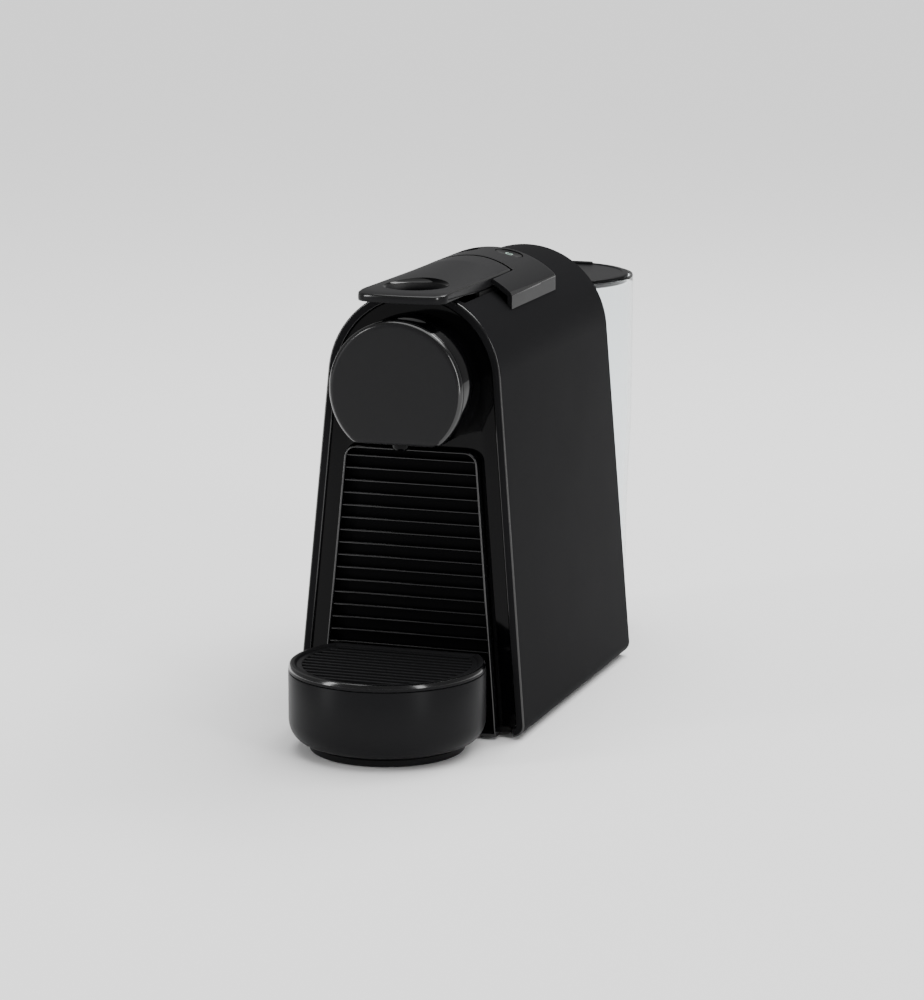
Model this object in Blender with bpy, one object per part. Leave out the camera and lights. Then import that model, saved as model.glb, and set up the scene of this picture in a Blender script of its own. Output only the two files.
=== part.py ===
"""Pod coffee machine, as an assembly of separate pieces.

World frame: X to the right seen from the front, Y to the back, Z up. The origin is
under the middle of the machine, on the table. Lengths below are in millimetres and
become metres when a mesh is made.
"""

import math

import bmesh
import bpy
from mathutils import Matrix, Vector

MM = 0.001
GAP = 0.3  # between two pieces that touch

# Outer shell: an arch of leaning sides that run tangent into a round top
HALF_WIDTH = 55.14
SHELL_FOOT = 1.4
ARCH_Z = 160.2
ARCH_R = 41.17
SHELL_WALL = 2.4
FOOT_RADIUS = 5.2
FRONT_Y, FRONT_LEAN = -89.1, 0.042
REAR_Y, REAR_LEAN = 80.8, 0.014
LIP_OFFSET = 4.2
LEAN = math.atan2(SHELL_FOOT - ARCH_Z, HALF_WIDTH) + math.acos(
    ARCH_R / math.hypot(HALF_WIDTH, ARCH_Z - SHELL_FOOT)
)

# Gloss panel behind the shell's front edge
PANEL_SETBACK = 1.2
PANEL_THICK = 2.0
PANEL_OFFSET = LIP_OFFSET + GAP

# Drawer front: a shallow louvred tray that slides out with the container and drip tray
DRAWER_OFFSET = 12.7
DRAWER_TOP = 130.0
DRAWER_CORNER = 6.0
DRAWER_FOOT = 1.5
DRAWER_PROUD = 4.8
DRAWER_WALL = 1.0
FIN_TOP, FIN_PITCH, FIN_COUNT, FIN_THICK = 126.0, 5.73, 16, 0.9

# Drip tray: a drum cut flat where it meets the drawer front
DRUM_Y, DRUM_R = -118.4, 44.1
DRUM_SEAM = 36.1
GRID_TOP = 39.6
DRUM_WALL = 2.0
DRUM_CUT_Y = -93.0
RIDGE_PITCH = 5.0

# Brew-head nose on the front panel
NOSE_Z, NOSE_R = 159.4, 31.4
NOSE_FRONT = -108.2
NOSE_FLAT = 135.0
OUTLET_Y, OUTLET_Z = -99.0, 132.0

# Control bridge over the arch
SADDLE_R = 46.4
SADDLE_WALL = 2.2
SADDLE_FRONT, SADDLE_REAR = -36.4, 32.0
SADDLE_HALF = 31.3
NOTCH_HALF = 21.8
BUTTON_X, BUTTON_Y, BUTTON_R = 10.7, 22.8, 6.5
BUTTON_THICK = 3.0
BUTTON_SUNK = 0.5

# Lever and the brew cage that its two cam cheeks push along Y
HINGE_Y, HINGE_Z = -20.0, 186.0
LEVER_HALF = 21.0
LEVER_TIP, LEVER_CORNER_Y = -104.4, -101.0
LEVER_CORNER_R = 5.5
LEVER_FRONT_TOP, LEVER_FRONT_UNDER = 202.4, 198.0
LEVER_REAR_MID, LEVER_REAR_SIDE = -1.5, -6.5
LEVER_TOP_R, LEVER_UNDER_R = 46.3, 42.4
LEVER_SWING = math.radians(78.0)
CAGE_TRAVEL = 29.4
PIN_Y, PIN_Z, PIN_R = -45.0, 176.4, 2.0
CAM_IN, CAM_OUT = 18.8, 20.8
CAM_TOP = 196.8
CAM_MARGIN = 6.0
WINDOW_HALF, WINDOW_FRONT, WINDOW_REAR = 21.5, -76.0, 29.0
BREW_Z = 158.5
CAGE_HALF, CAGE_BORE = 18.0, 15.0
CAGE_FRONT, CAGE_REAR, CAGE_TOP = -64.5, -36.0, 180.5
FRAME_IN, FRAME_OUT, FRAME_TOP = 22.2, 24.4, 189.9

# Water tank, behind the shell: a round tank with a flat front
TANK_Y, TANK_RIM_R = 121.0, 41.5
TANK_FLAT_Y = 84.8
TANK_WALL = 1.8
TANK_FOOT, TANK_TOP = 16.5, 182.0
LID_TOP, LID_THICK, LID_R = 182.9, 4.2, 39.0
LID_HINGE_Y, LID_HINGE_Z = 89.2, 179.9
VALVE_Y = 104.0
TANK_LEDGE_R = 37.8

# Hose routes between the water works' fittings
TANK_HOSE = ((0, 77.8, 12), (0, 70, 12), (8, 63, 13), (20, 60, 16), (24, 57, 19), (24, 53.4, 20))
SUCTION_HOSE = (
    (24, 40, 30.6), (24, 40, 38), (20, 30, 44), (6, 14, 30), (-12, 12, 12),
    (-20, 30, 9), (-20, 38, 11), (-20, 38, 15.6),
)
PRESSURE_HOSE = (
    (-20, 38, 114.6), (-20, 38, 122), (-20, 44, 132), (-18, 46, 142), (-16, 42, 156),
    (-14, 30, 158), (-12, 24, 151.0),
)

FINISHES = {
    # name: (red, green, blue, roughness, metallic)
    "satin_black": (0.020, 0.020, 0.021, 0.42, 0.0),
    "gloss_black": (0.008, 0.008, 0.009, 0.12, 0.0),
    "soft_black": (0.028, 0.028, 0.030, 0.50, 0.0),
    "inner_black": (0.015, 0.015, 0.015, 0.70, 0.0),
    "rubber": (0.020, 0.020, 0.020, 0.85, 0.0),
    "clear_plastic": (0.900, 0.930, 0.940, 0.05, 0.0),
    "white_plastic": (0.750, 0.750, 0.730, 0.45, 0.0),
    "grey_plastic": (0.200, 0.200, 0.210, 0.50, 0.0),
    "steel": (0.600, 0.600, 0.610, 0.30, 1.0),
    "aluminium": (0.680, 0.690, 0.700, 0.42, 1.0),
    "brass": (0.720, 0.520, 0.240, 0.35, 1.0),
    "circuit_green": (0.020, 0.160, 0.060, 0.45, 0.0),
    "hose": (0.800, 0.780, 0.740, 0.35, 0.0),
}


# ---------------------------------------------------------------- making meshes


def material(finish):
    """The Principled material of a named finish, made once."""
    found = bpy.data.materials.get(finish)
    if found:
        return found
    red, green, blue, roughness, metallic = FINISHES[finish]
    made = bpy.data.materials.new(finish)
    made.use_nodes = True
    shader = made.node_tree.nodes["Principled BSDF"]
    shader.inputs["Base Color"].default_value = (red, green, blue, 1.0)
    shader.inputs["Roughness"].default_value = roughness
    shader.inputs["Metallic"].default_value = metallic
    return made


def solid(name, points, faces, finish):
    """One closed mesh object from points in millimetres."""
    mesh = bpy.data.meshes.new(name)
    mesh.from_pydata([[value * MM for value in point] for point in points], [], faces)
    work = bmesh.new()
    work.from_mesh(mesh)
    bmesh.ops.recalc_face_normals(work, faces=work.faces)
    work.to_mesh(mesh)
    work.free()
    mesh.shade_smooth()
    mesh.set_sharp_from_angle(angle=math.radians(35))
    mesh.materials.append(material(finish))
    made = bpy.data.objects.new(name, mesh)
    bpy.context.scene.collection.objects.link(made)
    return made


def skin(name, loops, finish, ring=False):
    """A solid whose surface runs through loops of equal length; ring joins last to first."""
    count = len(loops[0])
    points = [point for loop in loops for point in loop]
    faces = []
    for row in range(len(loops) if ring else len(loops) - 1):
        here, there = row * count, (row + 1) % len(loops) * count
        for k in range(count):
            nxt = (k + 1) % count
            faces.append((here + k, here + nxt, there + nxt, there + k))
    if not ring:
        faces.append(tuple(range(count)))
        faces.append(tuple(range(len(points) - count, len(points))))
    return solid(name, points, faces, finish)


def along_y(outline, y):
    """A loop of an (x, z) outline at depth y, a number or a function of z."""
    return [(x, y(z) if callable(y) else y, z) for x, z in outline]


def prism_y(name, outline, near, far, finish):
    return skin(name, [along_y(outline, near), along_y(outline, far)], finish)


def prism_x(name, outline, low, high, finish):
    return skin(name, [[(x, y, z) for y, z in outline] for x in (low, high)], finish)


def prism_z(name, outline, low, high, finish):
    return skin(name, [[(x, y, z) for x, y in outline] for z in (low, high)], finish)


def box(name, low, high, finish):
    outline = [(low[0], low[1]), (high[0], low[1]), (high[0], high[1]), (low[0], high[1])]
    return prism_z(name, outline, low[2], high[2], finish)


def turned(name, profile, base, axis, finish, steps=24, ring=False):
    """A solid of revolution: profile is (radius, height along the axis) from end to end."""
    turn = Vector((0, 0, 1)).rotation_difference(Vector(axis)).to_matrix()
    loops = []
    for radius, height in profile:
        loop = []
        for k in range(steps):
            angle = 2 * math.pi * (k + 0.5) / steps
            local = Vector((radius * math.cos(angle), radius * math.sin(angle), height))
            loop.append(tuple(Vector(base) + turn @ local))
        loops.append(loop)
    return skin(name, loops, finish, ring)


def rod(name, start, end, radius, finish, steps=16):
    axis = Vector(end) - Vector(start)
    return turned(name, [(radius, 0), (radius, axis.length)], start, axis, finish, steps)


def tube(name, route, radius, finish):
    """A hose along a smooth curve through the route's points."""
    knots = [Vector(route[0])] + [Vector(p) for p in route] + [Vector(route[-1])]
    path = []
    for k in range(1, len(knots) - 2):
        a, b, c, d = knots[k - 1 : k + 3]
        for step in range(4):
            t = step / 4
            path.append(
                0.5 * (2 * b + (c - a) * t + (2 * a - 5 * b + 4 * c - d) * t * t
                       + (3 * b - a - 3 * c + d) * t * t * t)
            )
    path.append(knots[-2])
    data = bpy.data.curves.new(name, "CURVE")
    data.dimensions = "3D"
    data.bevel_depth = radius * MM
    data.bevel_resolution = 1
    data.use_fill_caps = True
    spline = data.splines.new("POLY")
    spline.points.add(len(path) - 1)
    for point, place in zip(spline.points, path):
        point.co = (*(place * MM), 1.0)
    data.materials.append(material(finish))
    made = bpy.data.objects.new(name, data)
    bpy.context.scene.collection.objects.link(made)
    return made


def combine(target, other, operation):
    """A Boolean modifier; the other object becomes a hidden helper."""
    modifier = target.modifiers.new(other.name, "BOOLEAN")
    modifier.operation = operation
    modifier.solver = "EXACT"
    modifier.object = other
    other.hide_render = True
    other.display_type = "WIRE"


def cut(target, cutter):
    combine(target, cutter, "DIFFERENCE")


def join(target, other):
    combine(target, other, "UNION")


def hang(name, pivot, *pieces):
    """Parents the pieces to an empty on their joint's axis, leaving them in place."""
    empty = bpy.data.objects.new(name, None)
    empty.location = Vector(pivot) * MM
    bpy.context.scene.collection.objects.link(empty)
    for piece in pieces:
        piece.parent = empty
        piece.matrix_parent_inverse = Matrix.Translation(Vector(pivot) * MM).inverted()


# ---------------------------------------------------------------- outlines


def arc(centre, radius, start, end, steps):
    """Points of an arc, angles in radians."""
    return [
        (
            centre[0] + radius * math.cos(start + (end - start) * k / steps),
            centre[1] + radius * math.sin(start + (end - start) * k / steps),
        )
        for k in range(steps + 1)
    ]


def mirrored(half):
    """A full outline from its right half, given from the bottom up to the middle."""
    return [(-x, z) for x, z in half] + [(x, z) for x, z in reversed(half) if x > 1e-6]


def side_x(z, offset):
    """Half width of the shell's straight side at height z, measured inwards by offset."""
    return (ARCH_R - offset) / math.cos(LEAN) - (z - ARCH_Z) * math.tan(LEAN)


def shell_outline(offset, steps=14):
    """The shell's section, from its left foot over the arch to its right foot."""
    centre_z = SHELL_FOOT + FOOT_RADIUS
    foot_centre = (side_x(centre_z, FOOT_RADIUS), centre_z)
    foot = arc(foot_centre, FOOT_RADIUS - offset, -math.pi / 2, LEAN, 5)
    over = arc((0, ARCH_Z), ARCH_R - offset, LEAN, math.pi / 2, steps)
    return mirrored(foot + over)


def drawer_outline(offset, foot, top):
    """The drawer opening's outline: it follows the shell's sides and has round top corners."""
    corner_z = top - DRAWER_CORNER
    corner_centre = (side_x(corner_z, offset + DRAWER_CORNER), corner_z)
    corner = arc(corner_centre, DRAWER_CORNER, LEAN, math.pi / 2, 5)
    half = [(side_x(foot, offset), foot)] + corner
    return mirrored(half)


def front_y(setback):
    """The leaning plane of the shell's front edge, moved back by setback."""
    return lambda z: FRONT_Y + FRONT_LEAN * z + setback


def rear_y(setback):
    return lambda z: REAR_Y + REAR_LEAN * z + setback


def flat_round(radius, centre_y, flat_y, steps=32):
    """A circle about (0, centre_y) with a flat side at flat_y."""
    reach = math.asin(min(1.0, abs(flat_y - centre_y) / radius))
    side = 1 if flat_y > centre_y else -1
    start, end = math.pi - side * reach, 2 * math.pi + side * reach
    if side < 0:
        start, end = -reach, math.pi + reach
    return arc((0, centre_y), radius, start, end, steps)


def flat_round_skin(name, levels, centre_y, finish, steps=32):
    """A cup or plate through levels of (radius, flat side's y, z)."""
    loops = []
    for radius, flat_y, z in levels:
        loops.append([(x, y, z) for x, y in flat_round(radius, centre_y, flat_y, steps)])
    return skin(name, loops, finish)


# ---------------------------------------------------------------- housing


def make_outer_shell():
    """The arch-shaped cover with its rounded front lip and the lever's window."""
    sections = (
        (front_y(0.0), 0.8, LIP_OFFSET - 0.6),
        (front_y(0.8), 0.0, LIP_OFFSET),
        (front_y(2.4), 0.0, LIP_OFFSET),
        (front_y(2.6), 0.0, SHELL_WALL),
        (rear_y(-0.5), 0.0, SHELL_WALL),
        (rear_y(0.0), 0.5, SHELL_WALL),
    )
    loops = []
    for depth, outer, inner in sections:
        outline = shell_outline(outer) + shell_outline(inner)[::-1]
        loops.append(along_y(outline, depth))
    shell = skin("outer_shell", loops, "satin_black")
    window = box(
        "shell_window", (-WINDOW_HALF, WINDOW_FRONT, 180), (WINDOW_HALF, WINDOW_REAR, 210), "inner_black"
    )
    seat_low, seat_high = (-WINDOW_HALF, -95, 197.6), (WINDOW_HALF, WINDOW_FRONT + 2, 210)
    seat = box("lever_seat", seat_low, seat_high, "inner_black")
    cut(shell, window)
    cut(shell, seat)


def make_front_panel():
    """The gloss panel: an arch with the drawer's opening and the brew head's hole."""
    opening = drawer_outline(DRAWER_OFFSET - 0.4, SHELL_FOOT + PANEL_OFFSET, DRAWER_TOP + 0.5)
    outline = shell_outline(PANEL_OFFSET) + opening[::-1]
    panel = prism_y(
        "front_panel", outline, front_y(PANEL_SETBACK), front_y(PANEL_SETBACK + PANEL_THICK), "gloss_black"
    )
    cut(panel, rod("panel_hole", (0, -100, NOSE_Z), (0, -60, NOSE_Z), 22.0, "inner_black", 40))


def nose_loop(radius, depth, steps=36):
    """A circle about the nose's axis, cut flat at the bottom."""
    flat = NOSE_FLAT + (NOSE_R - radius) * 0.8
    outline = [(x, max(z, flat)) for x, z in arc((0, NOSE_Z), radius, 0, 2 * math.pi, steps)[:-1]]
    return along_y(outline, depth)


def make_nose():
    """The disc over the brew head: a rounded face and the drum behind it."""
    face_back = NOSE_FRONT + 3.2
    skin(
        "nose_face",
        [
            nose_loop(28.6, NOSE_FRONT),
            nose_loop(30.3, NOSE_FRONT + 0.5),
            nose_loop(31.1, NOSE_FRONT + 1.4),
            nose_loop(NOSE_R, NOSE_FRONT + 2.6),
            nose_loop(NOSE_R, face_back),
            nose_loop(29.0, face_back),
            nose_loop(29.0, NOSE_FRONT + 2.0),
        ],
        "soft_black",
    )
    back = front_y(PANEL_SETBACK - GAP)
    housing = skin(
        "nose_housing",
        [
            nose_loop(NOSE_R, face_back + GAP),
            nose_loop(NOSE_R, back),
            nose_loop(NOSE_R - 2.0, back),
            nose_loop(NOSE_R - 2.0, face_back + GAP),
        ],
        "gloss_black",
        ring=True,
    )
    cut(housing, rod("outlet_hole", (0, OUTLET_Y, 130), (0, OUTLET_Y, 145), 4.3, "inner_black"))
    turned(
        "coffee_outlet",
        [(3.4, 0), (4.0, 1.0), (4.0, 6.0), (5.6, 6.0), (5.6, 7.2), (4.6, 7.2), (2.6, 5.0), (2.4, 0)],
        (0, OUTLET_Y, OUTLET_Z),
        (0, 0, 1),
        "gloss_black",
        24,
        ring=True,
    )


def make_outlet_duct():
    """The open gutter that carries coffee from the extraction plate to the outlet."""
    floor_back, floor_front, wall = 144.5, 142.2, 1.4
    loops = []
    for y, floor in ((-72.6, floor_back), (-97.6, floor_front)):
        section = [(-6, 9), (-6, 0), (6, 0), (6, 9)]
        section += [(6 - wall, 9), (6 - wall, wall), (wall - 6, wall), (wall - 6, 9)]
        loops.append([(x, y, floor + z) for x, z in section])
    skin("outlet_duct", loops, "grey_plastic")


def saddle_outline(inner_radius):
    """The bridge's section: an arc with upright wings that stand on the shell."""
    inner_half = SADDLE_HALF - SADDLE_WALL

    def on_circle(radius, x):
        return ARCH_Z + math.sqrt(radius * radius - x * x)

    clear = ARCH_R + 0.4
    corner = math.acos((SADDLE_HALF - 1.0) / SADDLE_R)
    outer = [(SADDLE_HALF, on_circle(clear, SADDLE_HALF))]
    outer.append((SADDLE_HALF, on_circle(SADDLE_R, SADDLE_HALF) - 1.0))
    outer += arc((0, ARCH_Z), SADDLE_R, corner, math.pi / 2, 12)
    inner_corner = math.acos(min(1.0, inner_half / inner_radius))
    inner = [(inner_half, on_circle(clear, inner_half))]
    inner += arc((0, ARCH_Z), inner_radius, inner_corner, math.pi / 2, 12)
    return mirrored(outer) + mirrored(inner)[::-1]


def barrel(name, clearance, finish):
    """The surface that the lever's rear end sweeps, turned about the hinge axis."""
    profile = [(lever_sweep(x) + clearance, x) for x in spread(-NOTCH_HALF, NOTCH_HALF, 12)]
    return turned(name, profile, (0, HINGE_Y, HINGE_Z), (1, 0, 0), finish, 96)


def make_saddle():
    """The control bridge, notched for the lever, with two button holes."""
    main = SADDLE_R - SADDLE_WALL
    rim = ARCH_R + 0.4
    sections = (
        (SADDLE_FRONT, main),
        (SADDLE_REAR - 2.0, main),
        (SADDLE_REAR - 1.8, rim),
        (SADDLE_REAR, rim),
    )
    saddle = skin(
        "saddle_cover", [along_y(saddle_outline(radius), y) for y, radius in sections], "soft_black"
    )
    cut(saddle, barrel("notch_sweep", 0.8, "inner_black"))
    cut(
        saddle,
        box("notch_front", (-NOTCH_HALF, -60, 185), (NOTCH_HALF, HINGE_Y + 5, 215), "inner_black"),
    )
    for side in (-1, 1):
        centre, outward = button_axis(side)
        start, end = centre - outward * 5, centre + outward * 4
        cut(saddle, rod(f"button_hole_{side}", start, end, BUTTON_R + GAP, "inner_black", 32))


def button_axis(side):
    """The middle of a button's place on the bridge, and the outward direction there."""
    angle = math.asin(BUTTON_X / SADDLE_R)
    outward = Vector((side * math.sin(angle), 0, math.cos(angle)))
    return Vector((0, BUTTON_Y, ARCH_Z)) + outward * SADDLE_R, outward


def make_buttons():
    """Two push buttons, their switches and the little board that holds these."""
    for side, word in ((-1, "left"), (1, "right")):
        centre, outward = button_axis(side)
        top = centre - outward * BUTTON_SUNK
        cap = turned(
            f"button_{word}",
            [(BUTTON_R, 0), (BUTTON_R, BUTTON_THICK - 0.5), (BUTTON_R - 0.5, BUTTON_THICK)],
            top - outward * BUTTON_THICK,
            outward,
            "gloss_black",
        )
        hang(f"button_{word}_axis", top, cap)
        x = side * 9.9
        low, high = (x - 3, BUTTON_Y - 3, 195.1), (x + 3, BUTTON_Y + 3, 198.4)
        switch = box(f"switch_{word}", low, high, "grey_plastic")
        start, end = (x, BUTTON_Y, 198), (x, BUTTON_Y, 200.4)
        join(switch, rod(f"switch_stem_{word}", start, end, 1.6, "grey_plastic", 16))
    box("button_board", (-19, 15.5, 193.2), (19, 28.4, 194.8), "circuit_green")


def make_base():
    """Base plate, feet, divider wall and the closed rear panel."""
    right = [(47.0, -85.0), (47.0, REAR_Y - 1.3), (TANK_LEDGE_R, REAR_Y - 1.3)]
    tail = arc((0, TANK_Y), TANK_LEDGE_R, 0, math.pi, 28)
    outline = right + tail + [(-x, y) for x, y in reversed(right)]
    plate = prism_z("base_plate", outline, 2.3, 4.8, "inner_black")
    foot = [(7.0, 0), (7.5, 1.0), (7.5, 2.0)]
    screw = [(2.8, 0.8), (2.8, 2.0), (1.5, 2.0), (1.5, 11.0)]
    for y, end in ((-72.0, "front"), (64.0, "rear")):
        for side, word in ((-1, "left"), (1, "right")):
            turned(f"rubber_foot_{end}_{word}", foot, (side * 36.0, y, 0), (0, 0, 1), "rubber", 24)
            x, screw_y = side * 43.0, y * 0.85
            turned(f"base_screw_{end}_{word}", screw, (x, screw_y, 0), (0, 0, 1), "steel", 16)
            hole = rod(f"screw_hole_{end}_{word}", (x, screw_y, 0), (x, screw_y, 9), 1.8, "steel")
            cut(plate, hole)
    half = [(46.5, 5.1), (side_x(12, 3.2), 12.0), (side_x(150, 3.2), 150.0)]
    prism_y("divider_wall", mirrored(half), 2.0, 4.0, "inner_black")
    outline = [(x, max(z, 5.1)) for x, z in shell_outline(SHELL_WALL + GAP)]
    panel = prism_y("rear_panel", outline, rear_y(-9.0), rear_y(-7.0), "satin_black")
    cut(panel, rod("gland_hole", (30, 60, 24), (30, 90, 24), 7.3, "inner_black"))
    cut(panel, rod("hose_hole", (0, 60, 12), (0, 90, 12), 2.9, "inner_black"))
    turned(
        "cable_gland",
        [(9.0, 0), (9.0, 2.0), (7.0, 2.0), (7.0, 7.5), (6.0, 9.0), (3.6, 9.0), (3.6, 0)],
        (30, 69.4, 24),
        (0, 1, 0),
        "rubber",
        24,
        ring=True,
    )


# ---------------------------------------------------------------- lever and brew unit


def spread(low, high, steps):
    return [low + (high - low) * k / steps for k in range(steps + 1)]


def lever_sweep(x):
    """Radius about the hinge that the lever's rear end reaches at x."""
    side_top = math.sqrt(LEVER_TOP_R**2 - LEVER_HALF**2)
    middle = math.hypot(LEVER_REAR_MID - HINGE_Y, ARCH_Z + LEVER_TOP_R - HINGE_Z)
    side = math.hypot(LEVER_REAR_SIDE - HINGE_Y, ARCH_Z + side_top - HINGE_Z)
    return middle - (middle - side) * (x / LEVER_HALF) ** 2


def lever_station(x):
    """The lever's outline in the plane at x, from its tip over the top and back beneath."""
    corner = LEVER_CORNER_R
    past = max(0.0, abs(x) - (LEVER_HALF - corner))
    tip = LEVER_TIP + (LEVER_CORNER_Y - LEVER_TIP) * (abs(x) / LEVER_HALF) ** 2.2
    tip += corner - math.sqrt(max(0.0, corner**2 - past**2))
    sweep = lever_sweep(x)
    rear_top = ARCH_Z + math.sqrt(LEVER_TOP_R**2 - x * x)
    rear_under = ARCH_Z + math.sqrt(LEVER_UNDER_R**2 - x * x)
    rear_top_y = HINGE_Y + math.sqrt(sweep**2 - (rear_top - HINGE_Z) ** 2)
    rear_under_y = HINGE_Y + math.sqrt(sweep**2 - (rear_under - HINGE_Z) ** 2)
    loop = [(tip + 0.6, LEVER_FRONT_UNDER), (tip, LEVER_FRONT_UNDER + 1.2), (tip, LEVER_FRONT_TOP - 1.4)]
    for y in spread(tip + 0.9, rear_top_y, 9):
        share = min(1.0, max(0.0, (y + 95.0) / 75.0))
        loop.append((y, LEVER_FRONT_TOP * (1 - share) + rear_top * share))
    middle_z = (rear_top + rear_under) / 2
    loop.append((HINGE_Y + math.sqrt(sweep**2 - (middle_z - HINGE_Z) ** 2), middle_z))
    for y in reversed(spread(-74.0, rear_under_y, 6)):
        share = min(1.0, max(0.0, (y + 74.0) / 16.0))
        loop.append((y, LEVER_FRONT_UNDER * (1 - share) + rear_under * share))
    return [(x, y, z) for y, z in loop]


def cam_path(turn):
    """Where the cage's pin sits in the lever's own (y, z) frame after this turn."""
    y = PIN_Y - HINGE_Y + CAGE_TRAVEL * turn / LEVER_SWING
    z = PIN_Z - HINGE_Z
    return (
        y * math.cos(turn) - z * math.sin(turn) + HINGE_Y,
        y * math.sin(turn) + z * math.cos(turn) + HINGE_Z,
    )


def cam_offset(turn, distance):
    """A point beside the cam path: a positive distance is away from the hinge."""
    before, here, after = (cam_path(turn + step) for step in (-0.01, 0.0, 0.01))
    along = Vector((after[0] - before[0], after[1] - before[1])).normalized()
    return (here[0] + along[1] * distance, here[1] - along[0] * distance)


def cam_slot(half_width):
    """Outline of the slot: both sides of the path and its two round ends."""
    turns = spread(0.0, LEVER_SWING, 18)
    loop = [cam_offset(turn, half_width) for turn in turns]
    loop += cam_end(LEVER_SWING, half_width, 1)
    loop += [cam_offset(turn, -half_width) for turn in reversed(turns)]
    loop += cam_end(0.0, half_width, -1)
    return loop


def cam_end(turn, radius, way):
    """The half circle that closes the slot at one end of the path."""
    centre = Vector(cam_path(turn))
    side = (Vector(cam_offset(turn, radius)) - centre) * way
    ahead = Vector((-side[1], side[0]))
    steps = spread(0.0, math.pi, 6)[1:-1]
    return [tuple(centre + side * math.cos(a) + ahead * math.sin(a)) for a in steps]


def make_lever():
    """The lever plate with its finger hole, and the two cam cheeks screwed beneath it."""
    edge = LEVER_HALF
    stations = [-edge, -20.5, -19.4, -17.8, -15.5, -10, -5, 0, 5, 10, 15.5, 17.8, 19.4, 20.5, edge]
    lever = skin("lever_handle", [lever_station(x) for x in stations], "soft_black")
    dish = [(9.0, 195.0), (9.6, 198.6), (11.4, 201.2), (14.2, 202.5), (15.2, 206.0)]
    cut(lever, turned("finger_dish", dish, (0, -78.5, 0), (0, 0, 1), "inner_black", 40))
    pieces = [lever]
    outline = [(HINGE_Y - 31.5, CAM_TOP)]
    outline += [cam_offset(turn, CAM_MARGIN) for turn in spread(-0.12, LEVER_SWING + 0.1, 16)]
    outline += [(HINGE_Y + 12.0, CAM_TOP)]
    for side, word in ((-1, "left"), (1, "right")):
        low, high = sorted((side * CAM_IN, side * CAM_OUT))
        cheek = prism_x(f"lever_cam_{word}", outline, low, high, "grey_plastic")
        slot = cam_slot(PIN_R + 0.35)
        cut(cheek, prism_x(f"cam_slot_{word}", slot, low - 2, high + 2, "inner_black"))
        start, end = (low - 2, HINGE_Y, HINGE_Z), (high + 2, HINGE_Y, HINGE_Z)
        cut(cheek, rod(f"cam_hole_{word}", start, end, 2.3, "inner_black"))
        start, end = side * 18.4, side * (FRAME_OUT + 0.4)
        rod(f"hinge_pin_{word}", (start, HINGE_Y, HINGE_Z), (end, HINGE_Y, HINGE_Z), 2.0, "steel")
        pieces.append(cheek)
    hang("lever_axis", (0, HINGE_Y, HINGE_Z), *pieces)


def make_brew_frame():
    """Side walls, extraction plate and capsule guide."""
    for side, word in ((-1, "left"), (1, "right")):
        low, high = sorted((side * FRAME_IN, side * FRAME_OUT))
        wall = box(f"brew_frame_{word}", (low, -72.0, 136.0), (high, 1.7, FRAME_TOP), "grey_plastic")
        start, end = (low - 2, HINGE_Y, HINGE_Z), (high + 2, HINGE_Y, HINGE_Z)
        cut(wall, rod(f"frame_hole_{word}", start, end, 2.3, "inner_black"))
    box("extraction_plate", (-21.9, -71.8, 139.5), (21.9, -68.2, 184.0), "steel")
    section = [
        (-21.8, -67.9), (21.8, -67.9), (21.8, -62.8), (19.2, -62.8),
        (19.2, -66.9), (-19.2, -66.9), (-19.2, -62.8), (-21.8, -62.8),
    ]
    guide = prism_z("capsule_guide", section, 141.0, 188.0, "grey_plastic")
    cut(guide, rod("guide_hole", (0, -70, BREW_Z), (0, -64, BREW_Z), 16.0, "inner_black", 32))


def make_cage():
    """The sliding cage that holds the capsule, with its cross pin, seal and piercing plate."""
    half = [(0.0, BREW_Z - CAGE_HALF)]
    half = arc((0, BREW_Z), CAGE_HALF, -math.pi / 2, 0, 10)[1:] + [(CAGE_HALF, CAGE_TOP)]
    outline = [(-x, z) for x, z in reversed(half)] + [(0.0, BREW_Z - CAGE_HALF)] + half
    cage = prism_y("brew_cage", outline, CAGE_FRONT, CAGE_REAR, "white_plastic")
    start, end = (0, -80, BREW_Z), (0, CAGE_REAR - 5, BREW_Z)
    cut(cage, rod("cage_bore", start, end, CAGE_BORE, "inner_black", 36))
    start, end = (0, CAGE_REAR - 8, BREW_Z), (0, CAGE_REAR + 8, BREW_Z)
    cut(cage, rod("cage_inlet", start, end, 2.6, "inner_black"))
    start, end = (-30, PIN_Y, PIN_Z), (30, PIN_Y, PIN_Z)
    cut(cage, rod("cage_cross", start, end, PIN_R + GAP, "inner_black", 20))
    pin = rod("cage_pin", (-21.3, PIN_Y, PIN_Z), (21.3, PIN_Y, PIN_Z), PIN_R, "steel", 20)
    ring = [(15.4, 0), (17.6, 0), (17.6, 1.5), (15.4, 1.5)]
    seal = turned("cage_seal", ring, (0, CAGE_FRONT - GAP, BREW_Z), (0, -1, 0), "rubber", 32, ring=True)
    plate_y = CAGE_REAR - 5 - GAP
    plate = rod("piercing_plate", (0, plate_y - 1.2, BREW_Z), (0, plate_y, BREW_Z), 13.8, "steel", 28)
    for k in range(3):
        angle = math.radians(90 + 120 * k)
        x, z = 7 * math.cos(angle), BREW_Z + 7 * math.sin(angle)
        root = (x, plate_y - 0.8, z)
        join(plate, turned(f"blade_{k}", [(2.0, 0), (0.4, 5.0)], root, (0, -1, 0), "steel", 6))
    fitting = [(2.3, 0), (2.3, 7.0), (3.4, 7.0), (3.4, 10.0)]
    nozzle = turned("inlet_fitting", fitting, (0, CAGE_REAR - 4.5, BREW_Z), (0, 1, 0), "brass", 16)
    hang("cage_axis", (0, PIN_Y, BREW_Z), cage, pin, seal, plate, nozzle)


# ---------------------------------------------------------------- drawer


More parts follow.
